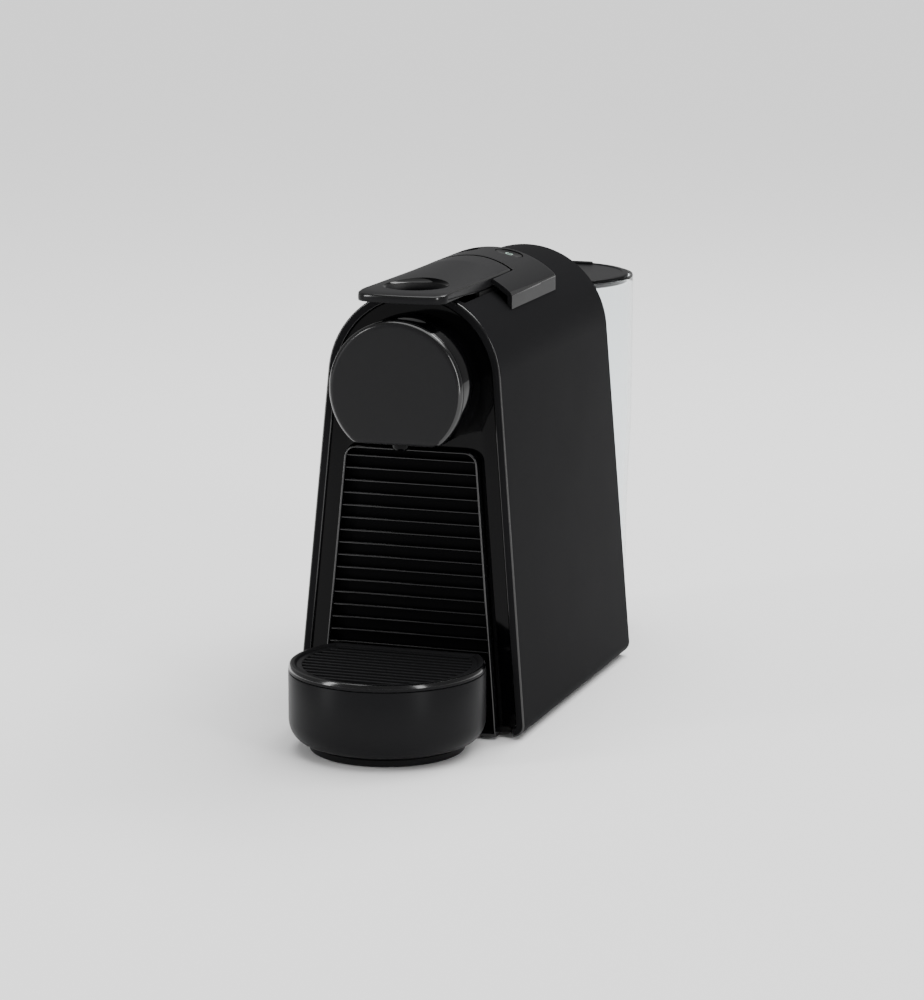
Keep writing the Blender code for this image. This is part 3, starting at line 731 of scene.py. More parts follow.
def dress(obj: Thing, body: Body, slot: Slot, finish: Finish, *stands_for: str) -> Thing:
    """Gives a piece its finish, its body and the CAD nodes that it stands for.

    Args:
        obj: the piece.
        body: the body that it moves with.
        slot: the record's material slot; not used.
        finish: its finish.
        *stands_for: CAD nodes that it replaces.

    Returns:
        The same object.
    """
    obj.data.materials.clear()
    obj.data.materials.append(finish.material())
    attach(obj, body.value)
    if stands_for:
        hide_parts(*stands_for)
    obj.data.calc_loop_triangles()
    log.info("%s: %d triangles", obj.name, len(obj.data.loop_triangles))
    return obj


def trimmed(obj: Thing, finish: Finish, chosen: Chooser) -> None:
    """Gives some of a piece's faces another finish.

    Args:
        obj: the piece, already dressed.
        finish: the finish of the chosen faces.
        chosen: says which, from the faces' middles in millimetres and their normals.
    """
    mesh = obj.data
    read = {}
    for name in ("center", "normal"):
        read[name] = np.empty(len(mesh.polygons) * 3, np.float32)
        mesh.polygons.foreach_get(name, read[name])
    mask = chosen(read["center"].reshape(-1, 3) / MM, read["normal"].reshape(-1, 3))
    index = np.empty(len(mesh.polygons), np.int32)
    mesh.polygons.foreach_get("material_index", index)
    mesh.materials.append(finish.material())
    index[mask] = len(mesh.materials) - 1
    mesh.polygons.foreach_set("material_index", index)
    mesh.update()
    log.info("%s: %d faces in %s", obj.name, int(mask.sum()), type(finish).__name__)


# ---------------------------------------------------------------- the shell's form


@dataclass(frozen=True)
class ShellForm:
    """The arch that every outer piece follows: leaning sides, tangent to a round top."""

    half_width: float = 55.14
    foot: float = 1.4
    foot_radius: float = 5.2
    arch_z: float = 160.2
    arch_r: float = 41.17
    front: float = -89.1
    front_lean: float = 0.042
    rear: float = 80.8
    rear_lean: float = 0.014

    @property
    def lean(self) -> float:
        """Angle of the sides from upright, in radians."""
        rise = self.foot - self.arch_z
        slant = math.hypot(self.half_width, rise)
        return math.atan2(rise, self.half_width) + math.acos(self.arch_r / slant)

    def side_x(self, z: float | np.ndarray, offset: float) -> float | np.ndarray:
        """Half width of the straight side at height z, this offset inwards from the outer skin."""
        return (self.arch_r - offset) / math.cos(self.lean) - (z - self.arch_z) * math.tan(self.lean)

    def outline(self, offset: float, steps: int = 84) -> np.ndarray:
        """The section: a foot arc, a straight side and a quarter arch, mirrored.

        Args:
            offset: distance inwards from the outer skin.
            steps: pieces in a quarter of the arch.

        Returns:
            Points (x, z) from the left foot to the right foot.
        """
        centre_z = self.foot + self.foot_radius
        centre = (self.side_x(centre_z, self.foot_radius), centre_z)
        foot = arc(centre, self.foot_radius - offset, -QUARTER, self.lean, 12)
        over = arc((0, self.arch_z), self.arch_r - offset, self.lean, QUARTER, steps)
        over[-1, 0] = 0.0
        return mirrored(np.concatenate([foot, over]))

    def drawer_outline(self, offset: float, foot: float, top: float, corner: float = 6.0) -> np.ndarray:
        """The drawer opening: straight leaning sides with round top corners.

        Args:
            offset: distance inwards from the shell's outer skin.
            foot: height of the lower edge.
            top: height of the upper edge.
            corner: corner radius.

        Returns:
            Points (x, z) from the left foot to the right foot.
        """
        corner_z = top - corner
        centre = (self.side_x(corner_z, offset + corner), corner_z)
        side_z = np.linspace(foot, corner_z - 1, 12)
        side = np.stack([self.side_x(side_z, offset), side_z], axis=1)
        middle = np.array([[0.0, top]])
        return mirrored(np.concatenate([side, arc(centre, corner, self.lean, QUARTER, 14), middle]))

    def front_y(self, setback: float) -> Depth:
        """The leaning plane of the front edge, this far behind it, as y over z."""
        return lambda z: self.front + self.front_lean * z + setback

    def rear_y(self, setback: float) -> Depth:
        """The leaning plane of the rear edge, this far behind it, as y over z."""
        return lambda z: self.rear + self.rear_lean * z + setback

    def flat_circle(self, radius: float, centre_y: float, flat_y: float, steps: int = 200) -> np.ndarray:
        """A circle about (0, centre_y) with one flat side.

        Args:
            radius: the circle's radius.
            centre_y: y of its middle.
            flat_y: y of the flat side.
            steps: pieces around.

        Returns:
            Points (x, y).
        """
        side = 1 if flat_y > centre_y else -1
        reach = math.asin(min(1.0, abs(flat_y - centre_y) / radius))
        start, end = (math.pi - reach, 2 * math.pi + reach) if side > 0 else (-reach, math.pi + reach)
        return arc((0, centre_y), radius, start, end, steps)

    def flat_cup(self, name: str, levels: Sequence, centre_y: float, ring: bool = False) -> Thing:
        """The skin through levels (radius, flat side's y, height) of a circle with a flat side.

        Args:
            name: the object's name.
            levels: one row for each level.
            centre_y: y of the circle's middle.
            ring: whether the last level joins the first.

        Returns:
            The closed object.
        """
        loops = []
        for radius, flat_y, z in np.asarray(levels, float):
            flat = self.flat_circle(radius, centre_y, flat_y)
            loops.append(np.column_stack([flat, np.full(len(flat), z)]))
        return skin(name, loops, ring)


FORM = ShellForm()
# DULL_AND_PAINTED_SHADE is the dull black of the inner parts, and painted shade on the lever's cams
SATIN, GLOSS, SILK, DULL_AND_PAINTED_SHADE, RUBBER = SatinMouldedAbs(), PolishedAbs(), SilkAbs(), DullNylonAndPaintedShade(), EpdmRubber()
# RECESS_BLACK_AND_PAINTED_SHADE is the drawer plate's own black, and painted shade on the finger hole's
# wall
EDGE, RECESS_BLACK_AND_PAINTED_SHADE = LacqueredEdge(), RecessBlackAndPaintedShade()
NOSE_Z = 159.4  # height of the brew nose's axis


# ---------------------------------------------------------------- housing


@dataclass
class OuterShell:
    """The arch-shaped cover: one moulding with a rounded front lip and the lever's window."""

    wall: float = 2.4
    lip: float = 4.2
    outer_round: float = 0.8
    window_half: float = 21.5
    window: tuple[float, float] = (-76.0, 29.0)
    seat_z: float = 197.6

    def loops(self) -> list[np.ndarray]:
        """Sections from front to rear: the lip's quarter rounds, its step, the wall and the rear edge.

        Returns:
            Closed loops of points.
        """
        inward, along = round_over()
        eased = list(zip(inward, 1 - along))
        lip, soft, inset = self.lip, self.outer_round, 0.03
        sections = [(FORM.front_y(soft * a), soft * b + inset, lip - 0.6 * b) for a, b in eased]
        sections += [(FORM.front_y(2.4), inset, lip), (FORM.front_y(2.6), inset, self.wall)]
        sections += [(FORM.rear_y(-0.5 * b), inset + 0.5 * a, self.wall) for a, b in eased]
        made = []
        for depth, outer, inner in sections:
            outline = np.concatenate([FORM.outline(outer), FORM.outline(inner)[::-1]])
            made.append(on_plane(outline, depth))
        return made

    def build(self) -> None:
        """Makes the shell, cuts the window and the lever's seat, and dresses it."""
        shell = skin("shell_skin", self.loops())
        opening = rounded_rectangle(self.window_half, *self.window, corner=2.5)
        seat = rounded_rectangle(self.window_half, -95.0, self.window[0] + 6, corner=1.0)
        cutters = extruded("window_cut", opening, 180, 212), extruded("seat_cut", seat, self.seat_z, 212)
        dress(carved(shell, *cutters), Body.HOUSING, Slot.SATIN_BLACK, SATIN, "outer_shell")

        def lip_round(centre: np.ndarray, normal: np.ndarray) -> np.ndarray:
            """Faces of the lip's two rounded edges."""
            depth = centre[:, 1] - FORM.front_y(0.0)(centre[:, 2])
            return (depth > 0.01) & (depth < self.outer_round) & (np.abs(normal[:, 1]) > 0.2)

        trimmed(shell, EDGE, lip_round)


@dataclass
class FrontPanel:
    """The polished panel inside the front lip, open where the drawer goes in."""

    setback: float = 1.2
    thick: float = 2.0
    offset: float = 4.5
    edge: float = 0.3

    def build(self) -> None:
        """Makes the panel with an eased edge round the drawer opening."""
        inward, along = round_over(4)
        rows = [(self.setback + self.edge * a, self.edge * (1 - b)) for a, b in zip(inward, along)]
        rows.append((self.setback + self.thick, 0.0))
        loops = []
        for setback, ease in rows:
            opening = FORM.drawer_outline(12.3 - ease, 5.9, 130.5 + ease)
            outline = np.concatenate([FORM.outline(self.offset), opening[::-1]])
            loops.append(on_plane(outline, FORM.front_y(setback)))
        panel = skin("front_panel_skin", loops)
        hole = turned("nose_cut", [(22.0, 0), (22.0, 40)], (0, -100, NOSE_Z), (0, 1, 0))
        dress(carved(panel, hole), Body.HOUSING, Slot.GLOSS_BLACK, GLOSS, "front_panel")


@dataclass
class BrewNose:
    """The disc over the brew head with a silk face, its polished drum and the outlet beneath."""

    z: float = NOSE_Z
    radius: float = 31.4
    front: float = -108.2
    depth: float = 3.2
    flat: float = 135.0
    outlet: tuple[float, float] = (-99.0, 132.0)

    def loop(self, radius: float, y: Depth | float, steps: int = 180) -> np.ndarray:
        """A circle whose lower part is held at a height: z' is the smooth maximum of z and that height.

        Args:
            radius: the circle's radius.
            y: its depth.
            steps: points around.

        Returns:
            Points (x, y, z).
        """
        flat = self.flat + (self.radius - radius) * 0.8
        outline = arc((0, self.z), radius, 0, 2 * math.pi, steps)[:-1]
        above = outline[:, 1] - flat
        outline[:, 1] = flat + 0.5 * (above + np.sqrt(above**2 + 0.5))
        return on_plane(outline, y)

    def build(self) -> None:
        """Makes the face, the drum behind it and the outlet."""
        inward, along = round_over(10)
        back = self.front + self.depth
        rows = [(r, self.front + 0.12 * (r / 28.6) ** 2) for r in (6.0, 14.0, 22.0, 27.6)]
        rows += [(28.6 + 2.8 * b, self.front + 0.15 + 2.45 * a) for a, b in zip(inward, along)]
        rows += [(31.4, back - 0.2), (31.2, back), (29.0, back), (29.0, back - 0.6)]
        face = skin("nose_face_skin", [self.loop(radius, y) for radius, y in rows])
        dress(face, Body.HOUSING, Slot.SOFT_BLACK, SpunSilkAbs(), "nose_face")

        def rim_round(centre: np.ndarray, normal: np.ndarray) -> np.ndarray:
            """Faces near the disc's edge that turn back from the front."""
            reach = np.hypot(centre[:, 0], centre[:, 2] - self.z)
            return (reach > 30.0) & (normal[:, 1] < -0.1)

        trimmed(face, EDGE, rim_round)

        front, rear = back + 0.3, FORM.front_y(0.9)
        rows = [(31.0, front), (31.3, front + 0.12), (31.4, front + 0.4)]
        rows += [(31.4, rear), (29.4, rear), (29.4, front)]
        drum = skin("nose_drum_skin", [self.loop(radius, y) for radius, y in rows], ring=True)
        y, low = self.outlet
        carved(drum, turned("outlet_cut", [(4.3, 0), (4.3, 12)], (0, y, 130)))
        dress(drum, Body.HOUSING, Slot.GLOSS_BLACK, PolishedDrum(), "nose_housing")

        corners = [(3.4, 0, 0.2), (4.0, 1.0, 0.4), (4.0, 6.0, 0), (5.6, 6.0, 0.2), (5.6, 7.2, 0.2)]
        corners += [(4.6, 7.2, 0.2), (2.6, 5.0, 0.6), (2.4, 0, 0.3)]
        spout = turned("outlet_skin", rounded_profile(corners), (0, y, low), ring=True, steps=64)
        dress(spout, Body.HOUSING, Slot.GLOSS_BLACK, GLOSS, "coffee_outlet")


@dataclass
class Underside:
    """Rear panel, cable gland, tank cradle and rubber feet."""

    ledge: float = 37.8
    tank_y: float = 121.0

    def build(self) -> None:
        """Makes each piece of the rear and the underside."""
        outline = FORM.outline(2.7)
        outline[:, 1] = np.maximum(outline[:, 1], 5.1)
        panel = skin("rear_panel_skin", [on_plane(outline, FORM.rear_y(y)) for y in (-9.0, -7.0)])
        gland_cut = turned("gland_cut", [(7.3, 0), (7.3, 30)], (30, 60, 24), (0, 1, 0))
        hose_cut = turned("hose_cut", [(2.9, 0), (2.9, 30)], (0, 60, 12), (0, 1, 0), steps=48)
        dress(carved(panel, gland_cut, hose_cut), Body.HOUSING, Slot.SATIN_BLACK, SATIN, "rear_panel")

        corners = [(9.0, 0, 0.3), (9.0, 2.0, 0.5), (7.0, 2.0, 0), (7.0, 7.5, 0.8)]
        corners += [(6.0, 9.0, 0.8), (3.6, 9.0, 0.5), (3.6, 0, 0.2)]
        gland = turned("cable_gland_skin", rounded_profile(corners), (30, 69.4, 24), (0, 1, 0), 64, True)
        dress(gland, Body.HOUSING, Slot.RUBBER, RUBBER, "cable_gland")

        sweep = arc((0, self.tank_y), self.ledge, 0, math.pi, 120)
        base = np.concatenate([[(-self.ledge, 78.2), (self.ledge, 78.2)], sweep])
        cradle = extruded("tank_cradle_skin", base, 5.1, 16.2, 0.5)
        socket = turned("socket_cut", [(9.2, 0), (9.2, 14)], (0, 104, 6))
        dress(carved(cradle, socket), Body.HOUSING, Slot.SATIN_BLACK, SATIN, "tank_cradle")

        profile = rounded_profile([(5.4, 0, 0), (7.0, 0, 0.6), (7.5, 1.0, 0.5), (7.5, 2.0, 0)])
        for side, x in (("left", -36.0), ("right", 36.0)):
            for end, y in (("front", -72.0), ("rear", 64.0)):
                foot = turned(f"foot_{end}_{side}", profile, (x, y, 0), steps=64)
                dress(foot, Body.HOUSING, Slot.RUBBER, RUBBER, f"rubber_foot_{end}_{side}")


# ---------------------------------------------------------------- bridge and lever


@dataclass
class LeverForm:
    """Where the lever's rear end turns, which also shapes the bridge's notch."""

    hinge: tuple[float, float] = (-20.0, 186.0)
    half: float = 21.0
    top_r: float = 46.3
    under_r: float = 42.4
    rear_mid: float = -1.5
    rear_side: float = -6.5

    def sweep(self, x: np.ndarray | float) -> np.ndarray | float:
        """Radius about the hinge of the lever's rear end: it falls with the square of x.

        Args:
            x: distance from the middle.

        Returns:
            The radius.
        """
        y, z = self.hinge
        middle = math.hypot(self.rear_mid - y, FORM.arch_z + self.top_r - z)
        edge_top = FORM.arch_z + math.sqrt(self.top_r**2 - self.half**2)
        side = math.hypot(self.rear_side - y, edge_top - z)
        return middle - (middle - side) * (x / self.half) ** 2

    def rear_y(self, x: np.ndarray, z: np.ndarray, clearance: float) -> np.ndarray:
        """y of the swept surface: y^2 + z^2 = (sweep + clearance)^2 about the hinge."""
        radius = self.sweep(x) + clearance
        return self.hinge[0] + np.sqrt(np.maximum(radius**2 - (z - self.hinge[1]) ** 2, 0.0))


@dataclass
class ControlBridge:
    """The saddle over the arch: two arms and a rear bridge round the lever, with two round keys."""

    lever: LeverForm = field(default_factory=LeverForm)
    radius: float = 46.4
    wall: float = 2.2
    half: float = 31.3
    front: float = -36.4
    rear: float = 32.0
    notch: float = 21.8
    corner: float = 2.2
    edge: float = 1.0
    gap: float = 0.8
    on_shell: float = 3.0
    key: tuple[float, float, float] = (10.7, 22.8, 6.5)

    def route(self) -> tuple[np.ndarray, np.ndarray, np.ndarray]:
        """Matching points of the outer and the inner boundary, left arm to right arm.

        Returns:
            Outer (x, y), inner (x, y), and the share of the swept notch in the inner one.
        """
        notch, top = np.array(self.notch), np.array(FORM.arch_z + 40.9)
        inner_corner = self.lever.rear_y(notch, top, self.gap) - 0.4
        start = self.front + 0.5 * (1 - np.cos(np.linspace(0, QUARTER, 5)))
        outer_y = np.concatenate([start, np.linspace(start[-1], self.rear - self.corner, 27)[1:]])
        inner_y = np.concatenate([start, np.linspace(start[-1], float(inner_corner), 27)[1:]])
        outer_arm = np.stack([np.full(len(outer_y), -self.half), outer_y], axis=1)
        inner_arm = np.stack([np.full(len(inner_y), -self.notch), inner_y], axis=1)
        middle = (self.corner - self.half, self.rear - self.corner)
        bend = arc(middle, self.corner, math.pi, QUARTER, 10)[1:]
        x = np.linspace(-self.notch, 0, 40)[1:]
        back = np.stack([(self.half - self.corner) * x / self.notch, np.full(len(x), self.rear)], axis=1)
        turn = np.repeat(inner_arm[-1:], len(bend), axis=0)
        turn[:, 0] += np.linspace(0.03, 0.3, len(bend))
        x = np.linspace(turn[-1, 0], 0, 40)[1:]
        cut = np.stack([x, np.zeros(len(x))], axis=1)
        outer = np.concatenate([outer_arm, bend, back])
        inner = np.concatenate([inner_arm, turn, cut])
        swept = np.concatenate([np.zeros(len(inner_arm)), np.linspace(0.1, 1, len(bend)), np.ones(len(x))])
        whole_outer = np.concatenate([outer, outer[-2::-1] * (-1, 1)])
        whole_inner = np.concatenate([inner, inner[-2::-1] * (-1, 1)])
        return whole_outer, whole_inner, np.concatenate([swept, swept[-2::-1]])

    def profile(self) -> tuple[np.ndarray, ...]:
        """The section's points from the wing's foot over the top to the notch and back beneath.

        Returns:
            For each point: distance in from the outer boundary, distance out from the
            inner one, share of the way between them, and depth below the top (a depth
            over on_shell means that the point stands on the shell).
        """
        inward, along = round_over(6)
        small, edge, wall, foot = 0.45, self.edge, self.wall, 9.0
        top = np.linspace(0, 1, 14)[1:-1]
        under = np.linspace(1, 0, 14)[1:]
        groups = (
            (0.0, 0.0, 0.0, [foot]),
            (edge * inward, 0.0, 0.0, edge * (1 - along)),
            (edge * (1 - top), small * top, top, 0.0),
            (0.0, small * (1 - along), 1.0, small * inward),
            (0.0, 0.0, 1.0, [wall]),
            (wall * (1 - under), 0.0, under, wall),
            (wall, 0.0, 0.0, [foot]),
        )
        rows = [np.column_stack(np.broadcast_arrays(*group)) for group in groups]
        return tuple(np.concatenate(rows).T)

    def build(self) -> None:
        """Carries the section round the notch, drills the key holes and adds the keys.

        A point is P = O + (I - O) b + w (in - out), with O and I the two boundaries, b the
        share between them and w the unit vector from O to I; its height is
        arch_z + sqrt((radius - depth)^2 - x^2).
        """
        outer, inner, swept = self.route()
        outer_in, inner_out, blend, depth = self.profile()
        stands = depth > self.on_shell
        shell_r = FORM.arch_r + 0.4

        def height(x: np.ndarray, down: np.ndarray) -> np.ndarray:
            """Height on the cylinder that lies this far below the top."""
            radius = np.where(down > self.on_shell, shell_r, self.radius - down)
            return FORM.arch_z + np.sqrt(np.maximum(radius**2 - x**2, 1.0))

        top_z = height(inner[:, 0], 0 * inner[:, 0])
        notch_y = self.lever.rear_y(inner[:, 0], top_z, self.gap)
        inner = inner.copy()
        inner[:, 1] = inner[:, 1] * (1 - swept) + notch_y * swept
        span = inner - outer
        first = span / np.linalg.norm(span, axis=1, keepdims=True)
        flat = (
            outer[:, None]
            + span[:, None] * blend[None, :, None]
            + first[:, None] * (outer_in - inner_out)[None, :, None]
        )
        x = flat[..., 0]
        z = height(x, np.broadcast_to(depth[None], x.shape))
        shift = self.lever.rear_y(x, z, self.gap) - self.lever.rear_y(x, height(x, 0 * x), self.gap)
        reach = np.where(stands, 0.0, blend)[None] ** 3 * swept[:, None]
        y = flat[..., 1] + shift * reach
        saddle = skin("bridge_skin", np.stack([x, y, z], axis=-1), crease=40)

        key_x, key_y, key_r = self.key
        cutters = []
        for side in (-1, 1):
            angle = math.asin(key_x / self.radius)
            out = np.array((side * math.sin(angle), 0, math.cos(angle)))
            centre = np.array((0, key_y, FORM.arch_z)) + out * self.radius
            bore = [(key_r + 0.3, 0), (key_r + 0.3, 4.75), (key_r + 0.75, 5.15), (key_r + 0.75, 8)]
            cutters.append(turned(f"key_cut_{side}", bore, centre - out * 5, out))
            self.key_cap(side, centre, out)
        dress(carved(saddle, *cutters, crease=40), Body.HOUSING, Slot.SOFT_BLACK, SILK, "saddle_cover")

        def top_edge(centre: np.ndarray, normal: np.ndarray) -> np.ndarray:
            """Faces of the rounded edge between the wings and the top."""
            side = (np.abs(centre[:, 0]) > self.half - 1.1) & (normal[:, 2] > 0.1) & (normal[:, 2] < 0.7)
            behind = (centre[:, 1] > self.rear - 1.1) & (normal[:, 1] > 0.2) & (normal[:, 2] > 0.2)
            return side | behind

        trimmed(saddle, EDGE, top_edge)

    def key_cap(self, side: int, centre: np.ndarray, out: np.ndarray) -> None:
        """One push key with a shallow dish and a printed cup that lights up.

        Args:
            side: -1 for the left key, 1 for the right.
            centre: middle of its place on the bridge.
            out: the outward direction there.
        """
        word, body = ("left", Body.LEFT_BUTTON) if side < 0 else ("right", Body.RIGHT_BUTTON)
        key_r = self.key[2]
        inward, along = round_over(5)
        shoulder = np.stack([key_r - 0.5 * inward, 2.5 + 0.5 * along], axis=1)
        dish = np.array([(5.2, 2.9), (3.6, 2.78), (1.8, 2.7), (0.2, 2.68)])
        profile = np.concatenate([[(key_r, 0.0)], shoulder, dish])
        low = centre - out * 3.5
        cap = turned(f"key_{word}", profile, low, out)
        dress(cap, body, Slot.GLOSS_BLACK, GLOSS, f"button_{word}")
        across = np.cross((0.0, 1.0, 0.0), out)
        tall = 2.4 if side > 0 else 1.5
        rim, foot = tall / 2, 0.2 - tall / 2
        cup = spline([(-1.5, rim), (-1.3, foot), (0, foot - 0.5), (1.3, foot), (1.5, rim)], 10)
        closing = np.stack([np.linspace(1.5, -1.5, 12)[1:-1], np.full(10, rim)], axis=1)
        self.printed(f"icon_{word}", np.concatenate([cup, closing]), low + out * 2.74, across, out, body)

    def printed(
        self,
        name: str,
        line: np.ndarray,
        origin: np.ndarray,
        across: np.ndarray,
        out: np.ndarray,
        body: Body,
    ) -> None:
        """A thin raised line: a small round section carried round a flat closed path.

        Args:
            name: the piece's name.
            line: points (right, up) of the path.
            origin: where (0, 0) is.
            across: direction of right.
            out: direction away from the key.
            body: the body that it moves with.
        """
        along = np.roll(line, -1, axis=0) - np.roll(line, 1, axis=0)
        along /= np.linalg.norm(along, axis=1, keepdims=True)
        aside = np.stack([-along[:, 1], along[:, 0]], axis=1)
        turn = np.linspace(0, 2 * math.pi, 8, endpoint=False)
        flat = line[:, None] + aside[:, None] * 0.16 * np.cos(turn)[None, :, None]
        lift = 0.06 * np.sin(turn)
        up = np.array((0.0, 1.0, 0.0))
        points = origin + flat[..., :1] * across + flat[..., 1:] * up + lift[None, :, None] * out
        dress(skin(name, points, ring=True), body, Slot.GLOSS_BLACK, BacklitPrint())


@dataclass
class Lever:
    """The lever plate: flat at its finger hole and bowed to the bridge's curve behind."""

    form: LeverForm = field(default_factory=LeverForm)
    tip: float = -104.4
    corner_y: float = -101.0
    corner: float = 5.5
    front_top: float = 202.4
    front_under: float = 198.0
    edge: float = 0.7
    droop: float = 0.9
    hole_y: float = -78.5

    def station(self, x: float) -> np.ndarray:
        """The outline in the plane at x: over the top from the tip, and back beneath.

        The tip is at y = tip + (corner_y - tip) (|x| / half)^2.2. The top blends linearly
        from the front height to the rear cylinder and sinks by droop (1 - d / 9)^2 at a
        distance d behind the tip. Near the side edge both skins draw together by
        e = r - sqrt(r^2 - p^2).

        Args:
            x: distance from the middle.

        Returns:
            Points (x, y, z).
        """
        half = self.form.half
        ratio = abs(x) / half
        past = max(0.0, abs(x) - (half - self.corner))
        tip = self.tip + (self.corner_y - self.tip) * ratio**2.2
        tip += self.corner - math.sqrt(max(0.0, self.corner**2 - past**2))
        close = max(0.0, abs(x) - (half - self.edge))
        drawn = self.edge - math.sqrt(max(0.0, self.edge**2 - close**2))
        rear_top = FORM.arch_z + math.sqrt(self.form.top_r**2 - x * x)
        rear_under = FORM.arch_z + math.sqrt(self.form.under_r**2 - x * x)
        inward, along = round_over(6)
        nose_low = np.stack([tip + 0.6 * (1 - along), self.front_under + 1.2 * inward], axis=1)
        nose_high = np.stack([tip + 0.9 * inward, self.front_top - 1.4 * (1 - along)], axis=1)
        rear_y = float(self.form.rear_y(x, rear_top, 0.0))
        y = np.linspace(tip + 1.4, rear_y - 0.6, 46)
        share = np.clip((y + 95.0) / 75.0, 0, 1)
        top = np.stack([y, self.front_top * (1 - share) + rear_top * share], axis=1)
        z = np.linspace(rear_top - 0.5, rear_under + 0.3, 7)
        back = np.stack([self.form.rear_y(x, z, 0.0), z], axis=1)
        for part in (nose_high, top):
            part[:, 1] -= self.droop * np.clip(1 - (part[:, 0] - tip) / 9.0, 0, 1) ** 2
        edge = np.array([[rear_y - 0.22, rear_top - 0.12]])
        y = np.linspace(float(back[-1, 0]) - 0.4, -74.0, 30)
        share = np.clip((y + 74.0) / 16.0, 0, 1)
        share = share * share * (3 - 2 * share)
        under = np.stack([y, self.front_under * (1 - share) + rear_under * share], axis=1)
        loop = np.concatenate([nose_low, nose_high, top, edge, back, under])
        count = len(nose_low) + len(nose_high) + len(top)
        sign = np.ones(len(loop))
        sign[: len(nose_low)] = -1
        sign[count + 1 :] = np.concatenate([np.linspace(0.9, -0.9, len(back)), -np.ones(len(under))])
        loop[:, 1] -= drawn * sign
        return np.column_stack([np.full(len(loop), x), loop])

    def build(self) -> None:
        """Makes the plate, cuts the dished finger hole and dresses it."""
        half = self.form.half
        bend = half - self.edge * (1 - np.sin(np.linspace(0, QUARTER, 7)))
        corner = np.linspace(half - self.corner, half - self.edge, 9)[:-1]
        right = np.concatenate([np.linspace(0, half - self.corner, 24)[:-1], corner, bend])
        stations = np.concatenate([-right[:0:-1], right])
        plate = skin("lever_skin", [self.station(float(x)) for x in stations], crease=38)
        z = np.linspace(197.0, 202.7, 14)
        flare = np.stack([9.3 + 5.2 * ((z - 197.0) / 5.6) ** 3.2, z], axis=1)
        dish = np.concatenate([[(9.2, 194.0)], flare, [(16.4, 205.0)]])
        cut = turned("finger_cut", dish, (0, self.hole_y, 0), steps=144)
        dress(carved(plate, cut, crease=38), Body.LEVER, Slot.SOFT_BLACK, SILK, "lever_handle")

        def dish_wall(centre: np.ndarray, normal: np.ndarray) -> np.ndarray:
            """Faces of the finger hole: they face its axis."""
            out = centre[:, :2] - (0.0, self.hole_y)
            facing = (out * normal[:, :2]).sum(axis=1)
            return (np.linalg.norm(out, axis=1) < 15.5) & (facing < -0.5)

        def side_edge(centre: np.ndarray, normal: np.ndarray) -> np.ndarray:
            """Faces of the rounded upper edge along both sides and the tip."""
            near = (np.abs(centre[:, 0]) > half - self.edge) | (normal[:, 1] < -0.2)
            return near & (normal[:, 2] > 0.15) & (normal[:, 2] < 0.85) & ~dish_wall(centre, normal)

        def dish_rim(centre: np.ndarray, normal: np.ndarray) -> np.ndarray:
            """Faces of the finger hole's outermost flare."""
            out = np.linalg.norm(centre[:, :2] - (0.0, self.hole_y), axis=1)
            return dish_wall(centre, normal) & (out > 13.3)

        # painted shade: the finger hole's wall gets a darker colour than the lever's silk finish
        trimmed(plate, RECESS_BLACK_AND_PAINTED_SHADE, dish_wall)
        trimmed(plate, GLOSS, dish_rim)
        trimmed(plate, EDGE, side_edge)


# ---------------------------------------------------------------- drawer


